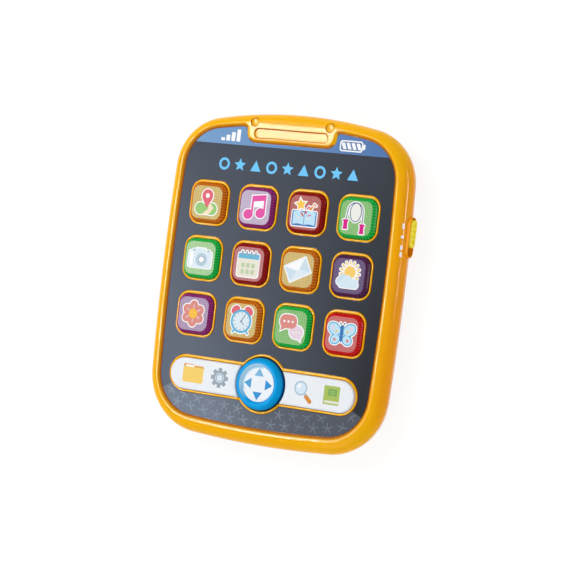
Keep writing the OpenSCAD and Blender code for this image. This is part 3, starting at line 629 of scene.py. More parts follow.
def finish_mesh(bm, limit=SMOOTH):
    """Joins doubles, turns faces outwards, smooths all but the sharp edges, and goes to metres."""
    bmesh.ops.remove_doubles(bm, verts=bm.verts, dist=JOIN)
    bmesh.ops.recalc_face_normals(bm, faces=bm.faces)
    for face in bm.faces:
        face.smooth = True
    for edge in bm.edges:
        edge.smooth = edge.calc_face_angle(0) < limit
    bmesh.ops.scale(bm, vec=(MM, MM, MM), verts=bm.verts)


def even_shading(obj):
    """Lets large flat faces keep their own normal."""
    weighted = obj.modifiers.new("even", "WEIGHTED_NORMAL")
    weighted.keep_sharp = True
    return obj


def make_object(name, bm, materials):
    mesh = bpy.data.meshes.new(name)
    bm.to_mesh(mesh)
    bm.free()
    for material in materials:
        mesh.materials.append(material)
    obj = bpy.data.objects.new(name, mesh)
    bpy.context.scene.collection.objects.link(obj)
    return obj


def piece(name, bm, materials, body, replaced=(), limit=SMOOTH):
    finish_mesh(bm, limit)
    obj = even_shading(make_object(name, bm, materials))
    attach(obj, body)
    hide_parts(*replaced)
    return obj


def carve(bm, cutters):
    """Cuts the shapes in one bmesh out of another and returns the carved bmesh."""
    solid = make_object("solid", bm, [])
    tool = make_object("tool", cutters, [])
    cut = solid.modifiers.new("cut", "BOOLEAN")
    cut.operation = "DIFFERENCE"
    cut.solver = "EXACT"
    cut.object = tool
    bpy.context.view_layer.update()
    carved = bmesh.new()
    carved.from_object(solid, bpy.context.evaluated_depsgraph_get())
    for obj in (solid, tool):
        bpy.data.objects.remove(obj)
    return carved


def smooth_copy(node, material, limit=SMOOTH, bevel=0.0, shape=None):
    """A copy of a CAD node with joined vertices, smooth faces, soft edges and slight changes of shape."""
    bm = bmesh.new()
    bm.from_mesh(nodes[node].data)
    bmesh.ops.scale(bm, vec=(1 / MM,) * 3, verts=bm.verts)
    bmesh.ops.remove_doubles(bm, verts=bm.verts, dist=CAD_JOIN)
    for face in bm.faces:
        face.material_index = 0
    if shape:
        for vert in bm.verts:
            vert.co = shape(vert.co)
    if bevel:
        bmesh.ops.dissolve_limit(bm, angle_limit=FLAT, verts=bm.verts, edges=bm.edges)
        sharp = [e for e in bm.edges if e.is_manifold and e.calc_face_angle(0) > SHARP]
        bmesh.ops.bevel(bm, geom=sharp, offset=bevel, offset_type="OFFSET", affect="EDGES",
                        segments=3, profile=0.5, material=-1, clamp_overlap=True)
    body = nodes[node]["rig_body"]
    return piece(node + "_look", bm, [material], body, [node], limit)


# Outlines

def polar(centre, radius, angle):
    return Vector((centre[0] + radius * math.cos(angle), centre[1] + radius * math.sin(angle)))


def arc(centre, radius, start, end, steps, last=False):
    """Points of an arc between two angles in degrees, with or without the last one."""
    turn = math.radians(end - start)
    return [polar(centre, radius, math.radians(start) + turn * k / steps) for k in range(steps + last)]


def at_height(points, z):
    return [Vector((p[0], p[1], z)) for p in points]


def moved(points, centre):
    return [Vector((p[0] + centre[0], p[1] + centre[1])) for p in points]


def bearing(a, b):
    return math.degrees(math.atan2(b[1] - a[1], b[0] - a[0]))


def rounded(half_x, half_y, radius, steps=8):
    """A rounded rectangle round the origin."""
    points = []
    for side, end, start in ((1, -1, -90), (1, 1, 0), (-1, 1, 90), (-1, -1, 180)):
        centre = (side * (half_x - radius), end * (half_y - radius))
        points += arc(centre, radius, start, start + 90, steps, True)
    return points


class Plan:
    """An outline of the case or the screen: bowed sides, an arched head and round corners."""

    TAB_HALF = 30.6
    TAB_LOW = 80.5
    TAB_CORNER = 6.5
    TAB_FILLET = 2.4
    WIDEST_Y = 3.0
    FOOT_START = -89.5
    FOOT_STEPS = 16
    ROUND_STEPS = 32
    SIDE_STEPS = 24
    HEAD_STEPS = 12
    FILLET_STEPS = 10
    CORNER_STEPS = 13

    def __init__(self, half, head, foot, head_corner, foot_corner, side_bow, head_bow, foot_bow):
        self.sizes = (half, head, foot, head_corner, foot_corner, side_bow, head_bow, foot_bow)
        self.half, self.head, self.foot = half, head, foot
        self.head_corner, self.foot_corner = head_corner, foot_corner
        self.side_bow, self.head_bow, self.foot_bow = side_bow, head_bow, foot_bow
        self.arch = Vector((0, head - head_bow))

    def inset(self, depth):
        signs = (1, 1, -1, 1, 1, 1, 1, 1)
        return Plan(*(size - sign * depth for size, sign in zip(self.sizes, signs)))

    def fillet_centre(self, x, radius):
        return Vector((x, self.arch[1] + math.sqrt((self.head_bow - radius) ** 2 - x * x)))

    def tab_edge(self, depth):
        """From the arch down the tab's right edge to its foot."""
        half = self.TAB_HALF - depth
        radius = self.TAB_CORNER - depth
        fillet = self.TAB_FILLET + depth
        centre = self.fillet_centre(half + fillet, fillet)
        corner = (half - radius, self.TAB_LOW + depth + radius)
        return (arc(centre, fillet, bearing(self.arch, centre), 180, self.FILLET_STEPS, True)
                + arc(corner, radius, 0, -90, self.CORNER_STEPS, True))

    def plain_edge(self):
        """The same stretch of the arch without the tab, in as many points."""
        centre = self.fillet_centre(self.TAB_HALF + self.TAB_FILLET, self.TAB_FILLET)
        steps = self.FILLET_STEPS + self.CORNER_STEPS + 2
        return arc(self.arch, self.head_bow, bearing(self.arch, centre), 90, steps)

    def outline(self, tab=None):
        """Anticlockwise from the middle of the foot, with the tab let in by a depth or without it."""
        side = Vector((self.half - self.side_bow, self.WIDEST_Y))
        foot = Vector((0, self.foot + self.foot_bow))
        high = meet(self.arch, self.head_bow - self.head_corner, side, self.side_bow - self.head_corner)
        low = meet(side, self.side_bow - self.foot_corner, foot, self.foot_bow - self.foot_corner)
        edge = self.plain_edge() if tab is None else self.tab_edge(tab)
        from_low, to_low = bearing(foot, low), bearing(side, low)
        from_high, to_high = bearing(side, high), bearing(self.arch, high)
        right = (arc(foot, self.foot_bow, self.FOOT_START, from_low, self.FOOT_STEPS)
                 + arc(low, self.foot_corner, from_low, to_low, self.ROUND_STEPS)
                 + arc(side, self.side_bow, to_low, from_high, self.SIDE_STEPS)
                 + arc(high, self.head_corner, from_high, to_high, self.ROUND_STEPS)
                 + arc(self.arch, self.head_bow, to_high, bearing(self.arch, edge[0]), self.HEAD_STEPS)
                 + edge)
        return right + [Vector((-p[0], p[1])) for p in reversed(right)]


def meet(a, radius_a, b, radius_b):
    """The point at given distances from two points, to the right of the way between them."""
    gap = (b - a).length
    along = (b - a) / gap
    reach = (gap * gap + radius_a ** 2 - radius_b ** 2) / (2 * gap)
    return a + along * reach + Vector((along[1], -along[0])) * math.sqrt(radius_a ** 2 - reach ** 2)


CASE = Plan(half=81.9, head=99.5, foot=-99.5, head_corner=33, foot_corner=36,
            side_bow=1500, head_bow=290, foot_bow=600)
SCREEN = Plan(half=72.7, head=91.6, foot=-89.1, head_corner=24.5, foot_corner=26,
              side_bow=1500, head_bow=325, foot_bow=600)
SCREEN_Z = span("screen_label")[1].z
LABEL_LOW = span("screen_label")[0].z
CREST_Z = 20.3
SEAM_Z = 12.0


# Front shell

WALL = 2.6
# Where a ring or a collar tucks under the sheet: how far in, and how far below at the end and at the edge
FOOT_IN = 1.0
TUCK_LOW = 0.1
TUCK = 0.05
SEAM_ROUND = 0.3
INNER_DROP = 2.0
# The inner slope up to the crest
CREST_IN = 2.1
SLOPE_POWER = 1.3
SLOPE_STEPS = 8
# The crest: the share of its width that is flat, and how far it falls past that
CREST_FLAT = 0.82
CREST_FALL = 0.02
# The tab: the share of its depth at which it starts to roll off, how far it rolls, and where it counts
ROLL_FROM = 0.84
TAB_ROLL = 0.28
TAB_FROM = 2.0
TAB_BLEND = 8.0
# The outer curve: where it starts across the rim, its power, and its first and whole share of a quarter turn
CREST_AT = 0.28
CURVE_POWER = 1.7
OUTER_FIRST = 0.06
OUTER_TURN = 0.9
OUTER_STEPS = 18
# Recesses in the tab, and the hole for the switch's collar
RECESS_Z = CREST_Z - 0.7
PILL_LIP = 0.5
PILL_ROUND = 0.25
CUT_OVER = 0.7
BOWL_DEPTH = 0.85
BOWL_STEPS = 8
BOWL_SIDES = 40
SWITCH_GAP = 0.1
SWITCH_CUT_IN = 6.0
SWITCH_CUT_OUT = 4.0


def blend(first, second, share):
    return [a * (1 - share) + b * share for a, b in zip(first, second)]


def outer_ring(step):
    """One ring of the outer curve, and its height."""
    turn = math.pi / 2 * (OUTER_FIRST + OUTER_TURN * step / OUTER_STEPS)
    across = math.sin(turn) ** (2 / CURVE_POWER)
    ring = blend(SCREEN.outline(), CASE.outline(), CREST_AT + (1 - CREST_AT) * across)
    return ring, SEAM_Z + (CREST_Z - SEAM_Z) * math.cos(turn)


def sunk(ring, z, gaps, rolled, fallen):
    """A ring that lies lower: on the tab by a share of its roll-off, elsewhere by a share of the fall."""
    points = []
    for p, gap in zip(ring, gaps):
        on_tab = min(gap / TAB_BLEND, 1)
        drop = TAB_ROLL * rolled * on_tab + CREST_FALL * fallen * (1 - on_tab)
        points.append(Vector((p[0], p[1], z - drop)))
    return points


def rim_rings():
    """From the foot under the sheet over the crest and down to the seam, then back inside."""
    rim_h = CREST_Z - SCREEN_Z
    rings = [at_height(SCREEN.inset(FOOT_IN).outline(-FOOT_IN), LABEL_LOW - TUCK_LOW),
             at_height(SCREEN.outline(0), LABEL_LOW - TUCK)]
    for k in range(SLOPE_STEPS + 1):
        share = math.sin(math.pi / 2 * k / SLOPE_STEPS)
        depth = CREST_IN * share
        rise = 1 - (1 - share) ** SLOPE_POWER
        rings.append(at_height(SCREEN.inset(-depth).outline(depth), SCREEN_Z + rim_h * rise))
    crest = [Vector(p[:2]) for p in rings[-1]]
    first = outer_ring(0)[0]
    gaps = [max((a - b).length - TAB_FROM, 0) for a, b in zip(crest, first)]
    for share in (CREST_FLAT, (CREST_FLAT + ROLL_FROM) / 2, ROLL_FROM, (1 + ROLL_FROM) / 2):
        rolled = max(share - ROLL_FROM, 0) / (1 - ROLL_FROM)
        fallen = (share - CREST_FLAT) / (1 - CREST_FLAT)
        rings.append(sunk(blend(crest, first, share), CREST_Z, gaps, rolled ** 2, fallen))
    for step in range(OUTER_STEPS + 1):
        ring, z = outer_ring(step)
        left = 1 - step / OUTER_STEPS
        rings.append(sunk(ring, z, gaps, left, left))
    rings.append(at_height(CASE.outline(), SEAM_Z + SEAM_ROUND))
    rings.append(at_height(CASE.inset(SEAM_ROUND).outline(), SEAM_Z))
    rings.append(at_height(CASE.inset(WALL).outline(), SEAM_Z))
    rings.append(at_height(CASE.inset(WALL).outline(), LABEL_LOW - INNER_DROP))
    return rings


def pill_cutter(bm):
    """A cutter for the long shallow recess, whose edge opens out at the surface."""
    half_x, half_y = PILL_HALF

    def pill(grow, z):
        loop = rounded(half_x + grow, half_y + grow, half_y + grow, steps=12)
        return at_height(moved(loop, (0, PILL_Y)), z)

    sweep(bm, [pill(-PILL_LIP, RECESS_Z), pill(0, RECESS_Z + PILL_ROUND), pill(PILL_LIP, CREST_Z),
               pill(PILL_LIP + CUT_OVER, CREST_Z + CUT_OVER)])


def bowl_cutter(bm, centre):
    """A cutter for a round dimple with a hollow floor and a crisp edge."""
    rings = []
    for k in range(1, BOWL_STEPS + 1):
        turn = math.pi / 2 * k / BOWL_STEPS
        ring = arc(centre, DIMPLE_R * math.sin(turn), 0, 360, BOWL_SIDES)
        rings.append(at_height(ring, CREST_Z - TAB_ROLL - BOWL_DEPTH * math.cos(turn)))
    rings.append(at_height(arc(centre, DIMPLE_R + DIMPLE_EDGE, 0, 360, BOWL_SIDES), CREST_Z + CUT_OVER))
    sweep(bm, rings)


def switch_cutter(bm):
    """A cutter for the hole that the switch's collar sits in."""
    low, high = span("switch_collar")
    centre = (low + high) / 2
    half_y = (high.y - low.y) / 2 + SWITCH_GAP
    half_z = (high.z - low.z) / 2 + SWITCH_GAP
    loop = rounded(half_y, half_z, half_z, steps=14)
    sweep(bm, [[Vector((x, centre.y + p[0], centre.z + p[1])) for p in loop]
               for x in (low.x - SWITCH_CUT_IN, high.x + SWITCH_CUT_OUT)])


def recess_cutters():
    bm = bmesh.new()
    pill_cutter(bm)
    for side in (-1, 1):
        bowl_cutter(bm, (side * DIMPLE_AT[0], DIMPLE_AT[1]))
    switch_cutter(bm)
    bmesh.ops.recalc_face_normals(bm, faces=bm.faces)
    return bm


def front_shell():
    bm = bmesh.new()
    sweep(bm, rim_rings(), closed=True)
    bmesh.ops.remove_doubles(bm, verts=bm.verts, dist=JOIN)
    bmesh.ops.recalc_face_normals(bm, faces=bm.faces)
    return piece("front_shell", carve(bm, recess_cutters()), [shell], "case", ["front_case"])


# Collars round the keys and the menu bar

KEY_NODES = [f"app_button_{i}" for i in range(1, 13)]
WELL_GAP = 0.4
LIP_GAP = 0.16
UPPER_ROOM = 0.45
COLLAR_WALL = 1.15
COLLAR_OUT = WELL_GAP + COLLAR_WALL
COLLAR_Z = 19.65
COLLAR_DEEP = 1.9
COLLAR_STEPS = 12
KEY_HALF = 12.2
KEY_R = 6.0
KNOB_R = (span("nav_knob")[1].x - span("nav_knob")[0].x) / 2
KNOB_ROOM = 0.05
KNOB_LIP = 0.15
FLANGE = 1.3
FLANGE_T = 1.0
BAR_HALF = span("menu_key_right")[1].x - FLANGE
BAR_UP = 9.8
BAR_END = BAR_HALF - BAR_UP
END_STEPS = 32


def collar(bm, loop):
    """A ring with a rounded top; loop gives the outline at a growth past the well's key."""
    rings = [at_height(loop(COLLAR_OUT + FOOT_IN), LABEL_LOW - TUCK_LOW),
             at_height(loop(COLLAR_OUT), LABEL_LOW - TUCK)]
    centre = (COLLAR_OUT + LIP_GAP) / 2
    radius = (COLLAR_OUT - LIP_GAP) / 2
    for k in range(COLLAR_STEPS + 1):
        turn = math.pi * k / COLLAR_STEPS
        ring = loop(centre + radius * math.cos(turn))
        rings.append(at_height(ring, COLLAR_Z - radius * (1 - math.sin(turn))))
    rings.append(at_height(loop(WELL_GAP), LABEL_LOW - COLLAR_DEEP))
    sweep(bm, rings, closed=True)


def inner_share(grow):
    """How far across the collar's width a growth lies: 0 at the outer edge and 1 at the lip."""
    return (COLLAR_OUT - grow) / (COLLAR_OUT - LIP_GAP)


def upper_room(grow):
    """How far the collar's upper side reaches in over the well at a growth."""
    return UPPER_ROOM * max(0, min(1, inner_share(grow)))


def lowered(points, half, drop):
    """An outline about the origin with its upper edge brought down."""
    return [(p[0], p[1] - drop * max(p[1], 0) / half) for p in points]


def angle_at(height, radius):
    """The angle in degrees at which a circle of a radius reaches a height."""
    return math.degrees(math.asin(height / radius))


def bar_end(side, up, drop):
    """The round end of the menu bar on one side, with its upper edge brought down."""
    start = -90 * side
    return lowered(arc((side * BAR_END, 0), up, start, start + 180, END_STEPS, True), up, drop)


def bar_loop(grow):
    """The menu bar with the knob's circle over it."""
    up = BAR_UP + grow
    drop = upper_room(grow)
    radius = KNOB_R + grow + KNOB_ROOM - KNOB_LIP * inner_share(grow)
    low, high = angle_at(up, radius), angle_at(up - drop, radius)
    over = arc((0, 0), radius, high, 180 - high, END_STEPS, True)
    under = arc((0, 0), radius, 180 + low, 360 - low, END_STEPS, True)
    return moved(bar_end(1, up, drop) + over + bar_end(-1, up, drop) + under, KNOB_AT)


def collars():
    bm = bmesh.new()
    for node in KEY_NODES:
        def well(grow):
            half = KEY_HALF + grow
            loop = rounded(half, half, KEY_R + grow, steps=10)
            return moved(lowered(loop, half, upper_room(grow)), middle(node))
        collar(bm, well)
    collar(bm, bar_loop)
    return piece("collars", bm, [collar_paint], "case", ["front_case"])


# Keys

KEY_TOP = span("app_button_1")[1].z
KEY_LOW = span("app_button_1")[0].z
TOP_HALF = 10.25
TOP_R = 4.6
# The soft edge of the top: how deep it starts, how far in it ends, and its last drop
TOP_EDGE = 0.12
TOP_IN = 0.3
TOP_DROP = 0.03
SLOPE_Z = 20.1
SLOPE_LEAD = 0.3
KEY_SLOPE_STEPS = 8
BULGE = 0.18
HOLLOW_HALF = 10.4
HOLLOW_R = 4.2
HOLLOW_TOP = 19.6
PLUNGER_R = 3.0
MENU_WALL = 1.8
MENU_FLANGE = 0.9 * FLANGE
MENU_ROUND = 1.1
MENU_ROUND_STEPS = 8
MENU_TOP_IN = 1.6
MENU_PLUNGER_X = 40.0
KNOB_CUT = 16.9


def plunger(bm, x, y, low, high):
    """The round post inside a key that pushes on the rubber sheet."""
    bmesh.ops.create_cone(bm, cap_ends=True, segments=32, radius1=PLUNGER_R, radius2=PLUNGER_R,
                          depth=high - low, matrix=Matrix.Translation((x, y, (low + high) / 2)))


def app_key(number, colour, top):
    """A flange, a straight body, slopes that bulge a little, and a flat top with a soft edge."""
    node = f"app_button_{number}"
    body = f"app_key_{number}"
    centre = middle(node)
    bm = bmesh.new()

    def ring(half, radius, z):
        loop = rounded(half, half, radius)
        return at_height(moved(lowered(loop, KEY_HALF, UPPER_ROOM), centre), z)

    rings = [ring(HOLLOW_HALF, HOLLOW_R, HOLLOW_TOP), ring(HOLLOW_HALF, HOLLOW_R, KEY_LOW)]
    rings += [ring(KEY_HALF + FLANGE, KEY_R + FLANGE, z) for z in (KEY_LOW, KEY_LOW + FLANGE_T)]
    rings += [ring(KEY_HALF, KEY_R, z) for z in (KEY_LOW + FLANGE_T, SLOPE_Z - SLOPE_LEAD)]
    for k in range(KEY_SLOPE_STEPS + 1):
        share = k / KEY_SLOPE_STEPS
        half = KEY_HALF + (TOP_HALF - KEY_HALF) * share + BULGE * math.sin(math.pi * share)
        radius = KEY_R + (TOP_R - KEY_R) * share
        rings.append(ring(half, radius, SLOPE_Z + (KEY_TOP - TOP_EDGE - SLOPE_Z) * share))
    rings.append(ring(TOP_HALF - TOP_EDGE, TOP_R - TOP_EDGE, KEY_TOP - TOP_DROP))
    rings.append(ring(TOP_HALF - TOP_IN, TOP_R - TOP_IN, KEY_TOP))
    sweep(bm, rings)
    for face in bm.faces:
        face.material_index = int(min(v.co.z for v in face.verts) > KEY_TOP - TOP_EDGE - TOP_DROP)
    plunger(bm, centre.x, centre.y, KEY_LOW, HOLLOW_TOP)
    piece(f"{body}_cap", bm, [sides[colour], tops[top]], body, [node])


def menu_key(side):
    """Half of the white bar, cut round the knob, with rounded top edges."""
    name = "left" if side < 0 else "right"
    node = f"menu_key_{name}"
    low, top = (corner.z for corner in span(node))
    bm = bmesh.new()

    def ring(inset, z):
        up = BAR_UP - inset
        cut = KNOB_CUT + inset
        notch = arc((0, 0), cut, angle_at(up - UPPER_ROOM, cut), -angle_at(up, cut), END_STEPS, True)
        loop = bar_end(1, up, UPPER_ROOM) + notch
        return at_height([(KNOB_AT[0] + side * p[0], KNOB_AT[1] + p[1]) for p in loop], z)

    rings = [ring(MENU_WALL, top - MENU_WALL), ring(MENU_WALL, low), ring(-MENU_FLANGE, low),
             ring(-MENU_FLANGE, low + FLANGE_T), ring(0, low + FLANGE_T)]
    for k in range(MENU_ROUND_STEPS + 1):
        turn = math.pi / 2 * k / MENU_ROUND_STEPS
        rings.append(ring(MENU_ROUND * (1 - math.cos(turn)), top - MENU_ROUND * (1 - math.sin(turn))))
    rings.append(ring(MENU_TOP_IN, top))
    sweep(bm, rings)
    plunger(bm, KNOB_AT[0] + side * MENU_PLUNGER_X, KNOB_AT[1], low, top - MENU_WALL)
    piece(f"menu_{name}_cap", bm, [bar_white], f"menu_{name}", [node])


# Knob

BRIM_Z = span("nav_knob")[1].z
FACE_TOP = span("nav_face")[1].z
KNOB_DRAFT = 0.6
KNOB_FOOT = 0.2
# The rounded shoulder, across and down
SHOULDER = (3.0, 4.6)
SHOULDER_STEPS = 14
# The hollow under the knob
KNOB_HOLLOW_R = 14.0
KNOB_HOLLOW_Z = 20.4
KNOB_HOLLOW_ROUND = 0.6
# The dish, as radius and height: from the brim, then from the face, and the seat under the face
DISH_BRIM = ((12.35, -0.04), (12.1, -0.2))
DISH_FOOT = ((11.2, 0.35), (10.85, -0.05))
SEAT_R = 10.8
SEAT_Z = 22.0
# The soft edge of the face, as steps in and down
FACE_EDGE = ((0, 0.2), (0.06, 0.06), (0.2, 0))


def knob():
    low = span("nav_knob")[0].z
    across, down = SHOULDER
    waist = KNOB_R - KNOB_DRAFT
    profile = [(0, KNOB_HOLLOW_Z), (KNOB_HOLLOW_R - KNOB_HOLLOW_ROUND, KNOB_HOLLOW_Z),
               (KNOB_HOLLOW_R, KNOB_HOLLOW_Z - KNOB_HOLLOW_ROUND), (KNOB_HOLLOW_R, low),
               (KNOB_R - KNOB_FOOT, low), (KNOB_R, low + KNOB_FOOT)]
    for k in range(SHOULDER_STEPS + 1):
        turn = math.pi / 2 * k / SHOULDER_STEPS
        profile.append((waist - across * (1 - math.cos(turn)), BRIM_Z - down * (1 - math.sin(turn))))
    profile += [(radius, BRIM_Z + z) for radius, z in DISH_BRIM]
    profile += [(radius, FACE_TOP + z) for radius, z in DISH_FOOT]
    profile += [(SEAT_R, SEAT_Z), (0, SEAT_Z)]
    bm = bmesh.new()
    lathe(bm, profile, KNOB_AT)
    piece("knob_body", bm, [knob_blue], "knob", ["nav_knob"])


def knob_face():
    low, high = span("nav_face")
    radius = (high.x - low.x) / 2
    bm = bmesh.new()
    edge = [(radius - inward, FACE_TOP - down) for inward, down in FACE_EDGE]
    lathe(bm, [(0, low.z), (radius, low.z)] + edge + [(0, FACE_TOP)], KNOB_AT)
    piece("knob_face", bm, [face_white], "knob", ["nav_face"])


# Printed pictures

class Print:
    """Thin inked shapes on one surface, each a little higher than the last, over a white edge."""

    STEP = 0.004
    SLIGHT = 0.0006
    LIFTS = 4
    THICK = 0.02
    ROUND_STEPS = 36
    SLAB_STEPS = 5
    END_GAP = 0.001
    SHARPEST = 0.45

    def __init__(self, centre, z, halo=0.0, size=1.0, turn=0.0):
        self.centre, self.z, self.halo, self.size, self.turn = centre, z, halo, size, turn
        self.shapes = []
        self.level = 0

    def shape(self, colour, points, lift=0):
        """One filled outline on a level of its own, or lifted slightly on the level in use."""
        turned = Matrix.Rotation(math.radians(self.turn), 2)
        if not lift:
            self.level += 1
        height = self.STEP * self.level + self.SLIGHT * lift
        self.shapes.append((colour, [turned @ (Vector(p) * self.size) for p in points], height))

    def disc(self, colour, x, y, radius):
        self.oval(colour, x, y, radius, radius)

    def placed(self, colour, loop, x, y, turn, lift=0):
        """An outline about the origin, turned and moved to its place."""
        turned = Matrix.Rotation(math.radians(turn), 2)
        self.shape(colour, [turned @ Vector(p) + Vector((x, y)) for p in loop], lift)

    def oval(self, colour, x, y, radius_x, radius_y, turn=0):
        circle = arc((0, 0), 1, 0, 360, self.ROUND_STEPS)
        self.placed(colour, [(p[0] * radius_x, p[1] * radius_y) for p in circle], x, y, turn)

    def discs(self, x, y, *layers):
        """Discs on one another, each with its colour and radius."""
        for colour, radius in layers:
            self.disc(colour, x, y, radius)

    def slab(self, colour, x, y, width, height, radius=0.2, turn=0, lift=0):
        loop = rounded(width / 2, height / 2, radius, self.SLAB_STEPS)
        self.placed(colour, loop, x, y, turn, lift)

    def stretch(self, colour, at, long, width, turn, lift):
        """One straight stretch of a stroke about its middle, with round ends."""
        self.slab(colour, at[0], at[1], long + width, width, width / 2 - self.END_GAP, turn, lift)

    def line(self, colour, points, width):
        """A stroke through points, as one level; its stretches lie slightly over each other."""
        self.level += 1
        for k, (a, b) in enumerate(zip(points, points[1:])):
            a, b = Vector(a), Vector(b)
            self.stretch(colour, (a + b) / 2, (b - a).length, width, bearing(a, b), 1 + k % self.LIFTS)

    def burst(self, colour, x, y, ways, reach, width):
        """Arms from one point in the given directions, as one level."""
        self.level += 1
        for k, way in enumerate(ways):
            at = polar((x, y), reach / 2, math.radians(way))
            self.stretch(colour, at, reach, width, way, 1 + k)

    def rays(self, colour, x, y, near, far, ways, width):
        """Short strokes that point away from one point, between two distances from it."""
        for way in ways:
            self.line(colour, [polar((x, y), distance, math.radians(way)) for distance in (near, far)], width)

    def ring(self, colour, x, y, radius, width, steps=28):
        self.line(colour, arc((x, y), radius, 0, 360, steps, True), width)

    def grown(self, points):
        """The points moved out from their outline by the width of the white edge."""
        after = points[1:] + points[:1]
        area = sum(a[0] * b[1] - b[0] * a[1] for a, b in zip(points, after))
        sign = 1 if area > 0 else -1
        result = []
        for before, here, ahead in zip(points[-1:] + points[:-1], points, after):
            first, second = here - before, ahead - here
            if min(first.length, second.length) < 1e-6:
                first = second = max(first, second, key=lambda way: way.length)
            first, second = (Vector((way[1], -way[0])).normalized() for way in (first, second))
            out = (first + second) * sign
            bend = max(out.length / 2, self.SHARPEST)
            result.append(here + out.normalized() * self.halo / bend)
        return result

    def prism(self, bm, layer, colour, points, height):
        ring = start_ring(bm, at_height(moved(points, self.centre), height))
        walls = bmesh.ops.extrude_face_region(bm, geom=cap(bm, ring))["geom"]
        low = [v for v in walls if isinstance(v, bmesh.types.BMVert)]
        bmesh.ops.translate(bm, vec=(0, 0, -self.THICK), verts=low)
        for face in {f for v in ring + low for f in v.link_faces}:
            for loop in face.loops:
                loop[layer] = INKS[colour]

    def make(self, name, body):
        """Makes the object: all the white edges first, then the inks over them."""
        bm = bmesh.new()
        layer = bm.loops.layers.float_color.new("ink")
        base = self.z
        if self.halo:
            for colour, points, height in self.shapes:
                base += self.SLIGHT
                self.prism(bm, layer, "white", self.grown(points), base)
        for colour, points, height in self.shapes:
            self.prism(bm, layer, colour, points, base + height)
        bmesh.ops.recalc_face_normals(bm, faces=bm.faces)
        bmesh.ops.scale(bm, vec=(MM, MM, MM), verts=bm.verts)
        obj = make_object(name, bm, [ink_paint])
        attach(obj, body)


def star_points(x, y, outer, inner, turn=90):
    """A star with five points, the first of them at an angle."""
    return [polar((x, y), inner if k % 2 else outer, math.radians(turn + 36 * k)) for k in range(10)]


def mirrored(side, points):
    return [(side * x, y) for x, y in points]


# Pictures on the app keys, in millimetres about the middle of the key

def map_pin(p):
    for x in (-4.4, 4.2):
        p.disc("leaf", x, -4.3, 3.9)
    p.slab("leaf", 0, -4.6, 9.0, 6.6, 1.0)
    p.shape("cream", [(-2.6, -7.9), (2.2, -7.9), (5.6, -3.6), (3.6, -1.2), (0.8, -0.7), (1.8, -2.2),
                      (1.4, -4.4)])
    p.disc("pin", 0.2, 4.3, 4.1)
    p.shape("pin", [(-3.6, 2.5), (4.0, 2.5), (0.5, -3.6), (0.1, -3.6)])
    p.disc("white", 0.2, 4.3, 1.5)


def music_notes(p):
    p.shape("white", [(-2.0, 0.4), (6.9, 1.4), (6.9, 5.0), (-2.0, 4.0)])
    for x, y in ((-4.6, -4.9), (4.3, -3.6)):
        p.oval("pink", x, y, 3.5, 3.2, 20)
    for x, y in ((-2.0, 1.0), (6.9, 2.2)):
        p.slab("pink", x, y, 1.4, 12.0, 0.3)
    p.shape("pink", [(-2.7, 3.4), (7.6, 4.7), (7.6, 8.4), (-2.7, 7.1)])


def story_book(p):
    page = [(8.0, 0.3), (4.2, 0.9), (0, -0.1), (0, -8.0), (4.2, -7.4), (8.0, -8.0)]
    p.slab("navy", 0, -4.0, 17.6, 9.6, 0.8)
    for side in (-1, 1):
        p.shape("sky", mirrored(side, page))
    p.line("navy", [(0, -0.4), (0, -7.8)], 0.35)
    p.shape("gold", star_points(-3.4, 4.7, 4.0, 2.0, 100))
    p.line("brick", [(-2.4, -0.6), (-0.9, -2.4)], 1.0)
    p.disc("brick", 0.8, -0.2, 0.8)
    p.line("magenta", [(1.7, 2.2), (2.6, 3.8)], 0.9)
    p.line("magenta", [(2.4, -2.2), (4.6, -1.4)], 0.6)
    p.disc("orange", 4.0, 2.6, 1.1)
    p.line("orange", [(4.9, 2.9), (6.2, 5.6), (7.9, 4.6)], 0.8)
    for x in (-4.2, 3.0):
        p.disc("cream", x, -3.9, 0.75)


def skipping_rope(p):
    loop = [(-0.4 + 3.9 * q[0], 3.2 + 5.9 * q[1]) for q in arc((0, 0), 1, 0, 360, 30, True)]
    arch = [(-0.7 + 5.4 * q[0], 3.4 + 5.8 * q[1]) for q in arc((0, 0), 1, 180, 0, 20, True)]
    p.shape("pale", loop[:-1])
    p.line("slate", loop, 0.6)
    p.line("slate", [(-6.7, -2.2)] + arch + [(4.9, -4.4)], 0.6)
    for x, y in ((-6.8, -4.2), (4.9, -6.4)):
        p.slab("magenta", x, y - 0.5, 2.8, 5.8, 0.6)
        p.slab("magenta", x, y + 1.9, 3.7, 1.3, 0.4)
        p.slab("magenta", x, y - 3.0, 3.5, 1.1, 0.4)


def camera(p):
    p.slab("mist", 0, -0.9, 17.6, 11.0, 1.8)
    p.shape("mist", [(-4.6, 4.0), (4.8, 4.0), (3.6, 6.2), (-3.4, 6.2)])
    for x in (-5.0, 5.8):
        p.slab("steel", x, 4.9, 1.7, 1.2, 0.3)
    p.slab("white", -6.6, -0.9, 2.6, 9.2, 0.6)
    p.discs(1.2, -1.0, ("fold", 4.7), ("steel", 3.9), ("fold", 3.1), ("gear", 2.6), ("white", 1.9))


def calendar(p):
    p.slab("paper", 0, -1.0, 15.6, 15.0, 1.4)
    p.slab("day", 0, 4.6, 15.6, 3.6, 1.0)
    p.slab("paper", 0, 2.6, 15.6, 0.9, 0.2)
    for k in range(4):
        p.slab("gear", -5.0 + 3.3 * k, 6.5, 1.2, 3.2, 0.55)
    for row in range(2):
        for column in range(3):
            p.slab("sage", -3.7 + 3.7 * column, -1.2 - 4.1 * row, 2.4, 2.9, 0.4)


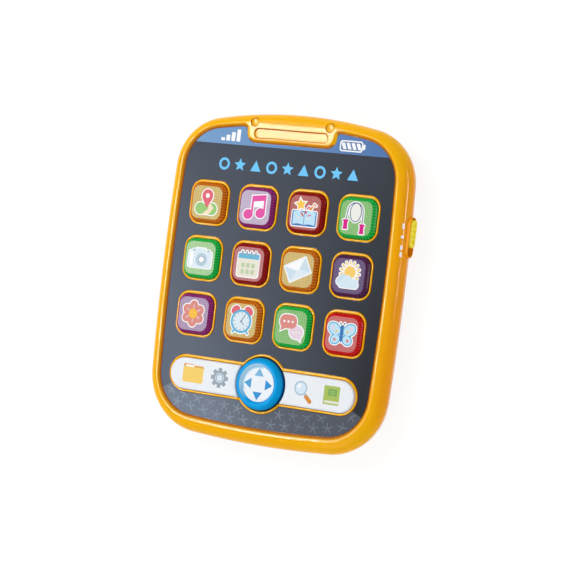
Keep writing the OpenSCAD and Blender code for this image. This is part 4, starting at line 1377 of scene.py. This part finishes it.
def envelope(p):
    p.slab("mist", 0, 0, 16.0, 10.6, 0.5)
    for side in (-1, 1):
        p.shape("fold", mirrored(side, [(7.7, -5.0), (7.7, 4.6), (1.2, -0.4)]))
    p.shape("white", [(-7.6, 5.0), (7.6, 5.0), (0.7, -1.2), (-0.7, -1.2)])
    p.line("fold", [(-7.4, 4.8), (0, -1.4), (7.4, 4.8)], 0.35)


def sun_and_cloud(p):
    p.rays("sun", 0.6, 2.2, 5.2, 6.8, [-32 + 25 * k for k in range(10)], 1.0)
    p.disc("sun", 0.6, 2.2, 3.9)
    p.disc("fold", -3.8, -2.0, 2.9)
    p.disc("fold", -5.9, -4.0, 2.3)
    p.slab("cloud", 0.3, -5.6, 13.6, 4.2, 2.05)
    p.disc("cloud", -0.6, -3.0, 3.3)
    p.disc("cloud", 4.2, -4.4, 2.6)


def flower(p):
    ways = [30 + 60 * k for k in range(6)]
    for way in ways:
        x, y = polar((0, 0), 5.0, math.radians(way))
        p.oval("salmon", x, y, 3.6, 3.2, way)
    p.rays("blush", 0, 0, 3.4, 5.6, ways, 0.7)
    p.discs(0, 0, ("orange", 3.5), ("gold", 3.0))
    for k in range(7):
        x, y = polar((0, 0), 1.7 if k else 0, math.radians(60 * k))
        p.disc("orange", x, y, 0.4)


def alarm_clock(p):
    for side in (-1, 1):
        p.oval("pin", side * 4.9, 6.2, 3.4, 2.6, -side * 38)
        p.line("clock", [(side * 4.1, -6.4), (side * 5.6, -8.2)], 1.2)
    p.discs(0, -0.8, ("clock", 7.6), ("mist", 6.2))
    p.rays("slate", 0, -0.8, 5.0, 5.7, range(0, 360, 30), 0.4)
    p.line("slate", [(2.4, 3.2), (0, -0.8), (2.2, -2.8)], 0.55)
    p.disc("slate", 0, -0.8, 0.6)


def chat_bubbles(p):
    p.oval("blush", 4.4, -3.0, 5.0, 4.3)
    p.shape("blush", [(4.6, -6.4), (8.2, -5.0), (7.8, -8.4)])
    p.slab("salmon", -2.0, 3.2, 12.4, 8.8, 4.0)
    p.shape("salmon", [(-6.8, 0.8), (-3.2, -1.0), (-7.0, -3.0)])
    for k in range(3):
        p.disc("white", -5.0 + 3.0 * k, 3.2, 0.75)
        p.disc("white", 2.2 + 2.2 * k, -3.2, 0.5)


def butterfly(p):
    for side in (-1, 1):
        p.oval("clock", side * 5.2, 2.6, 5.0, 3.9, side * 34)
        p.oval("clock", side * 4.2, -3.7, 3.8, 3.3, -side * 30)
    for side in (-1, 1):
        p.oval("sky", side * 5.2, 2.6, 4.3, 3.2, side * 34)
        p.oval("sky", side * 4.2, -3.7, 3.1, 2.6, -side * 30)
        p.disc("blush", side * 6.4, 3.4, 1.2)
        p.disc("gold", side * 3.9, 1.4, 0.8)
        p.disc("salmon", side * 4.6, -4.0, 1.0)
        p.line("slate", [(side * 0.2, 4.4), (side * 1.4, 6.4)], 0.4)
        p.disc("slate", side * 1.5, 6.6, 0.5)
    p.oval("navy", 0, -0.4, 1.1, 5.0)
    p.disc("navy", 0, 4.2, 1.2)


# Each key's picture, the colours of its sides and its top, and the turn of the picture in degrees
PICTURES = [
    (map_pin, "amber", "honey", 0), (music_notes, "purple", "lilac", 0),
    (story_book, "dark_red", "brick", 0), (skipping_rope, "green", "grass", 0),
    (camera, "green", "mint", 0), (calendar, "dark_red", "rose", 0),
    (envelope, "amber", "honey", 27), (sun_and_cloud, "violet", "grape", 0),
    (flower, "purple", "plum", 0), (alarm_clock, "amber", "honey", 0),
    (chat_bubbles, "green", "grass", 0), (butterfly, "red", "coral", 0)]
PICTURE_EDGE = 0.65
PICTURE_SIZE = 0.93


# Pictures on the menu bar, in millimetres along the bar from the knob

FOLDER_X = -46.9
GEAR_X = -28.1
LENS_AT = (27.8, 1.4)
BOOK_X = 48.5


def folder(p, x):
    p.slab("manila", x - 3.5, 2.2, 7.0, 7.4, 0.9)
    p.slab("manila", x, 1.2, 14.4, 8.0, 1.0)
    p.slab("white", x - 2.7, 2.3, 6.0, 6.0, 0.6)
    p.slab("folder", x, -0.6, 14.4, 9.4, 1.2)


def gear(p, x):
    for way in range(0, 360, 45):
        tooth = polar((x, 0), 4.8, math.radians(way))
        p.slab("gear", tooth[0], tooth[1], 2.4, 2.5, 0.4, way)
    p.discs(x, 0, ("gear", 4.4), ("fold", 3.0), ("gear", 2.4), ("mist", 1.9))


def magnifier(p, x, y):
    p.line("wood", [(x + 4.0, y - 4.5), (x + 6.8, y - 7.2)], 2.6)
    p.line("gear", [(x + 2.2, y - 1.8), (x + 3.8, y - 4.2)], 0.8)
    p.discs(x, y, ("steel", 4.3), ("cloud", 3.5))
    p.oval("white", x - 1.0, y + 1.2, 1.5, 0.9, 40)


def note_book(p, x):
    p.slab("book", x, 0.2, 10.4, 10.4, 0.7)
    p.slab("paper", x + 0.4, -4.2, 9.6, 1.7, 0.3)
    p.slab("book", x, -5.2, 10.4, 0.9, 0.3)
    p.slab("moss", x + 0.5, 1.6, 5.6, 3.8, 0.4)
    for y in (2.2, 0.9):
        p.slab("book", x + 0.5, y, 3.6, 0.7, 0.2)


def menu_pictures():
    left = Print(KNOB_AT, span("menu_key_left")[1].z)
    folder(left, FOLDER_X)
    gear(left, GEAR_X)
    left.make("menu_left_print", "menu_left")
    right = Print(KNOB_AT, span("menu_key_right")[1].z)
    magnifier(right, *LENS_AT)
    note_book(right, BOOK_X)
    right.make("menu_right_print", "menu_right")


# Arrows on the knob's face, the top and left ones paler as painted highlight, with a soft arc of painted
# shade at its upper left edge

ARROW = ((4.8, -3.2), (9.5, -0.1), (9.5, 0.1), (4.8, 3.2))
# The top and left arrows are paler, as painted highlight
ARROW_INKS = ("arrow", "arrow_top_highlight", "arrow_left_highlight", "arrow")
FACE_SHADE_R = 10.1
FACE_SHADE_FROM = 80
FACE_SHADE_TO = 200
FACE_SHADE_STEPS = 40
FACE_SHADE_WIDE = 1.0


def knob_arrows():
    arrows = Print(KNOB_AT, FACE_TOP)
    # A light blue arc of painted shade at the upper left of the face's edge
    arrows.line("haze", arc((0, 0), FACE_SHADE_R, FACE_SHADE_FROM, FACE_SHADE_TO, FACE_SHADE_STEPS, True), FACE_SHADE_WIDE)
    for k, colour in enumerate(ARROW_INKS):
        arrows.placed(colour, ARROW, 0, 0, 90 * k)
    arrows.make("knob_arrows", "knob")


# Marks on the sheet

SIGNAL_AT = (-47.2, 80.4)
SIGNAL_PITCH = 3.6
SIGNAL_STEP = 1.8
SIGNAL_WIDE = 2.6
BATTERY_AT = (40.6, 83.2)
BATTERY_PITCH = 3.3
ROW_Y = 66.4
ROW_PITCH = 11
ROW_COUNT = 9
STAR_ROWS = (-85.6, -79.2, -72.8, -66.4, -60.0)
STAR_SPAN = range(-7, 8)
STAR_BEND = 650
STAR_PITCH = 9.5
STAR_REACH = 3.1
STAR_LINE = 0.75
STAR_TURN = 7
FEWEST_ARMS = 3
# The ink of the stars up to each place across the sheet, paler to the left as painted sheen
STAR_INKS = ((-36, "star_left"), (-8, "star_inner"), (20, "star_middle"), (SCREEN.half, "star_right"))


def signal_bars(p):
    x, y = SIGNAL_AT
    for k in range(4):
        height = SIGNAL_STEP * (k + 1)
        p.slab("white", x + SIGNAL_PITCH * k, y + height / 2, SIGNAL_WIDE, height, 0.3)


def battery_sign(p):
    x, y = BATTERY_AT
    p.slab("white", x, y, 15.2, 6.6, 1.6)
    p.slab("strip", x, y, 13.6, 5.0, 1.0)
    p.slab("white", x + 8.4, y, 1.5, 3.2, 0.5)
    for k in range(4):
        left = x - 5.1 + BATTERY_PITCH * k
        p.shape("white", [(left - 0.1, y - 1.9), (left + 2.2, y - 1.9), (left + 0.6, y + 1.9),
                          (left - 1.7, y + 1.9)])


def shape_row(p):
    """A row of rings, stars and triangles in turn."""
    for k in range(ROW_COUNT):
        x = ROW_PITCH * (k - (ROW_COUNT - 1) / 2)
        if k % 3 == 0:
            p.ring("row_blue", x, ROW_Y, 3.0, 1.5)
        elif k % 3 == 1:
            p.shape("row_blue", star_points(x, ROW_Y, 4.1, 1.9))
        else:
            p.shape("row_blue", [(x - 3.6, ROW_Y - 3.1), (x + 3.6, ROW_Y - 3.1), (x, ROW_Y + 3.5)])


def on_field(x, y):
    """Whether a point lies on the paler field, clear of the collar and the screen's edge."""
    clear = COLLAR_OUT + STAR_LINE
    from_knob = Vector((x - KNOB_AT[0], y - KNOB_AT[1]))
    past_end = max(abs(from_knob[0]) - BAR_END, 0)
    corner = Vector((SCREEN.half - SCREEN.foot_corner, SCREEN.foot + SCREEN.foot_corner))
    beyond = Vector((abs(x), y)) - corner
    in_corner = beyond[0] < 0 or beyond[1] > 0 or beyond.length < SCREEN.foot_corner - 2 * STAR_LINE
    return (math.hypot(x, y + FIELD_DROP) < FIELD_RADIUS - STAR_LINE
            and math.hypot(past_end, from_knob[1]) > BAR_UP + clear
            and from_knob.length > KNOB_R + clear
            and in_corner
            and y - x * x / STAR_BEND > SCREEN.foot + STAR_LINE)


def star_field(p):
    """Rows of thin stars that bend with the field's foot, without the arms that would leave the field."""
    for row, height in enumerate(STAR_ROWS):
        for k in STAR_SPAN:
            x = STAR_PITCH * (k + 0.5 * (row % 2))
            y = height + x * x / STAR_BEND
            turn = 90 + STAR_TURN * ((k + 2 * row) % 3 - 1)
            ways = [turn + 72 * arm for arm in range(5)]
            ways = [way for way in ways if on_field(*polar((x, y), STAR_REACH, math.radians(way)))]
            if len(ways) >= FEWEST_ARMS and on_field(x, y):
                p.level = 0
                colour = next(name for end, name in STAR_INKS if x < end)
                p.burst(colour, x, y, ways, STAR_REACH, STAR_LINE)


def sheet_marks():
    marks = Print((0, 0), SCREEN_Z)
    signal_bars(marks)
    battery_sign(marks)
    shape_row(marks)
    star_field(marks)
    marks.make("sheet_print", "case")


# Switch

SWITCH_WALL = 0.55
SLIDER_WIDER = 1.22
SWITCH_SOFT = 0.2
# Raised marks beside the switch, a dash, a dot and two dashes: places and lengths along the side
DOT_LONG = 1.7
DASH_WIDE = DOT_LONG / 1.6
SIDE_MARKS = ((40.0, 3.4), (33.7, DOT_LONG), (27.6, 2.8), (23.6, 2.8))
# Their share of the way from the crest to the seam, and how much of it a millimetre takes
MARK_AT = 0.72
MARK_SHARE = 0.11
# How far their lower and upper faces lie from the rim, to the side and up at a slant
MARK_LIFTS = (-0.05, 0.06)
LIFT_SLANT = 0.7
MARK_FLAT = 0.01


def thin_collar(point):
    """Moves the inner wall of the switch's collar out, so that only a thin edge shows."""
    centre = middle("switch_collar")
    low, high = span("switch_collar")
    half = (high.z - low.z) / 2
    straight = (high.y - low.y) / 2 - half
    along = max(-straight, min(straight, point.y - centre.y))
    out = Vector((0, point.y - centre.y - along, point.z - centre.z))
    if out.length > half - SWITCH_WALL:
        return point
    return Vector((point.x, centre.y + along, centre.z)) + out.normalized() * (half - SWITCH_WALL)


def wide_slider(point):
    """Widens the slider where it fills the collar, and leaves the plate behind it as it is."""
    low, high = span("switch_collar")
    if point.x < low.x:
        return point
    middle_z = (low.z + high.z) / 2
    return Vector((point.x, point.y, middle_z + (point.z - middle_z) * SLIDER_WIDER))


def rim_point(across, y, lift):
    """A point on the right rim: its share of the way from the crest to the seam, and its place along."""
    inner, outer = (plan.half - (y - Plan.WIDEST_Y) ** 2 / (2 * plan.side_bow) for plan in (SCREEN, CASE))
    x = inner + (outer - inner) * (CREST_AT + (1 - CREST_AT) * across)
    z = SEAM_Z + (CREST_Z - SEAM_Z) * math.sqrt(1 - across ** CURVE_POWER)
    return Vector((x + lift * LIFT_SLANT, y, z + lift * LIFT_SLANT))


def switch_marks():
    bm = bmesh.new()
    for y, long in SIDE_MARKS:
        wide = DOT_LONG if long == DOT_LONG else DASH_WIDE
        loop = rounded(wide / 2, long / 2, wide / 2 - MARK_FLAT, steps=6)
        sweep(bm, [[rim_point(MARK_AT + p[0] * MARK_SHARE, y + p[1], lift) for p in loop]
                   for lift in MARK_LIFTS])
    piece("switch_marks", bm, [mark_white], "case")


# Build

front_shell()
collars()
for number, (draw, colour, top, turn) in enumerate(PICTURES, 1):
    app_key(number, colour, top)
    picture = Print(middle(f"app_button_{number}"), KEY_TOP, PICTURE_EDGE, PICTURE_SIZE, turn)
    draw(picture)
    picture.make(f"app_key_{number}_print", f"app_key_{number}")
for side in (-1, 1):
    menu_key(side)
knob()
knob_face()
menu_pictures()
knob_arrows()
sheet_marks()
switch_marks()
smooth_copy("rear_case", shell, REAR_SMOOTH)
smooth_copy("switch_collar", shell, bevel=SWITCH_SOFT, shape=thin_collar)
smooth_copy("switch_slider", slider_yellow, bevel=SWITCH_SOFT, shape=wide_slider)

node_slots = {part["node"]: part["material_slot"] for part in frame["record"]["subparts"]}
for name, obj in nodes.items():
    look = sheet if name == "screen_label" else INNER.get(node_slots.get(name), INNER["inner_plastic"])
    obj.data.materials.clear()
    obj.data.materials.append(look)


# Floor, light and camera, in metres

FLOOR_REACH = 3.0
FLOOR_DROP = 0.0002
FLOOR_CLOUD = 30.0
FLOOR_WHITES = (rgb(248, 248, 248), rgb(252, 252, 252))
FLOOR_SEEN = rgb(110, 110, 110)
FLOOR_GLOW = (0.87, 0.87, 0.87, 1)
NO_GLOW = (0, 0, 0, 1)
WHITE = (1, 1, 1, 1)
WORLD_LEVEL = 0.66
LENS = 124.37
SENSOR = 36
CLIP_START = 0.05
CAMERA_AT = Vector((574.54, 3.96, 1039.85)) * MM
CAMERA_TURN = Vector((0.0259, 0.5065, 0.1208))


def world_light(level):
    world = bpy.data.worlds.new("studio")
    bpy.context.scene.world = world
    world.use_nodes = True
    background = world.node_tree.nodes["Background"]
    background.inputs["Color"].default_value = WHITE
    background.inputs["Strength"].default_value = level


def floor():
    """White and plain; what the camera and mirrors see of it is mostly white, with a faint shadow."""
    bm = bmesh.new()
    bmesh.ops.create_grid(bm, x_segments=1, y_segments=1, size=FLOOR_REACH)
    bmesh.ops.translate(bm, vec=(0, 0, -FLOOR_DROP), verts=bm.verts)
    paint = Paint("floor", Roughness=0.9, Specular_IOR_Level=0.0, Emission_Strength=1.0)
    seen = sum(paint.node("ShaderNodeLightPath", {}, {}, f"Is {kind} Ray")
               for kind in ("Camera", "Glossy", "Transmission"))
    white = paint.mix(paint.noise(FLOOR_CLOUD), *FLOOR_WHITES)
    paint.set(
        Base_Color=paint.mix(seen, white, FLOOR_SEEN),
        Emission_Color=paint.mix(seen, NO_GLOW, FLOOR_GLOW))
    make_object("floor", bm, [paint.material])


def area_light(name, direction, distance, size, power, mirror_only=False):
    """A round soft lamp; one that is for mirrors only shows in gloss and lights nothing else."""
    light = bpy.data.lights.new(name, "AREA")
    light.shape = "ELLIPSE"
    light.size, light.size_y = size
    light.energy = power
    lamp = bpy.data.objects.new(name, light)
    bpy.context.scene.collection.objects.link(lamp)
    away = Vector(direction).normalized()
    lamp.visible_diffuse = not mirror_only
    lamp.location = away * distance
    lamp.rotation_euler = away.to_track_quat("Z", "Y").to_euler()


def camera_eye():
    """The photograph's viewpoint: 1.2 m off, turned about 30 degrees from straight on."""
    lens = bpy.data.cameras.new("camera")
    lens.lens = LENS
    lens.sensor_width = SENSOR
    lens.clip_start = CLIP_START
    eye = bpy.data.objects.new("camera", lens)
    bpy.context.scene.collection.objects.link(eye)
    turned = Matrix.Rotation(CAMERA_TURN.length, 4, CAMERA_TURN.normalized())
    eye.matrix_world = Matrix.Translation(CAMERA_AT) @ turned
    bpy.context.scene.camera = eye


bpy.context.scene.view_settings.view_transform = "Standard"
world_light(WORLD_LEVEL)
floor()
area_light("key_light", (-0.5, 0.5, 0.8), 1.2, (0.7, 0.7), 6.0)
area_light("fill_light", (-0.1, -0.9, 0.6), 1.3, (0.8, 0.8), 2.6)
area_light("sheen_light", (-0.484, -0.003, 0.875), 0.9, (0.42, 0.24), 13.0, mirror_only=True)
area_light("edge_light", (0.97, 0.24, 0.06), 1.0, (0.6, 0.07), 5.5, mirror_only=True)
camera_eye()
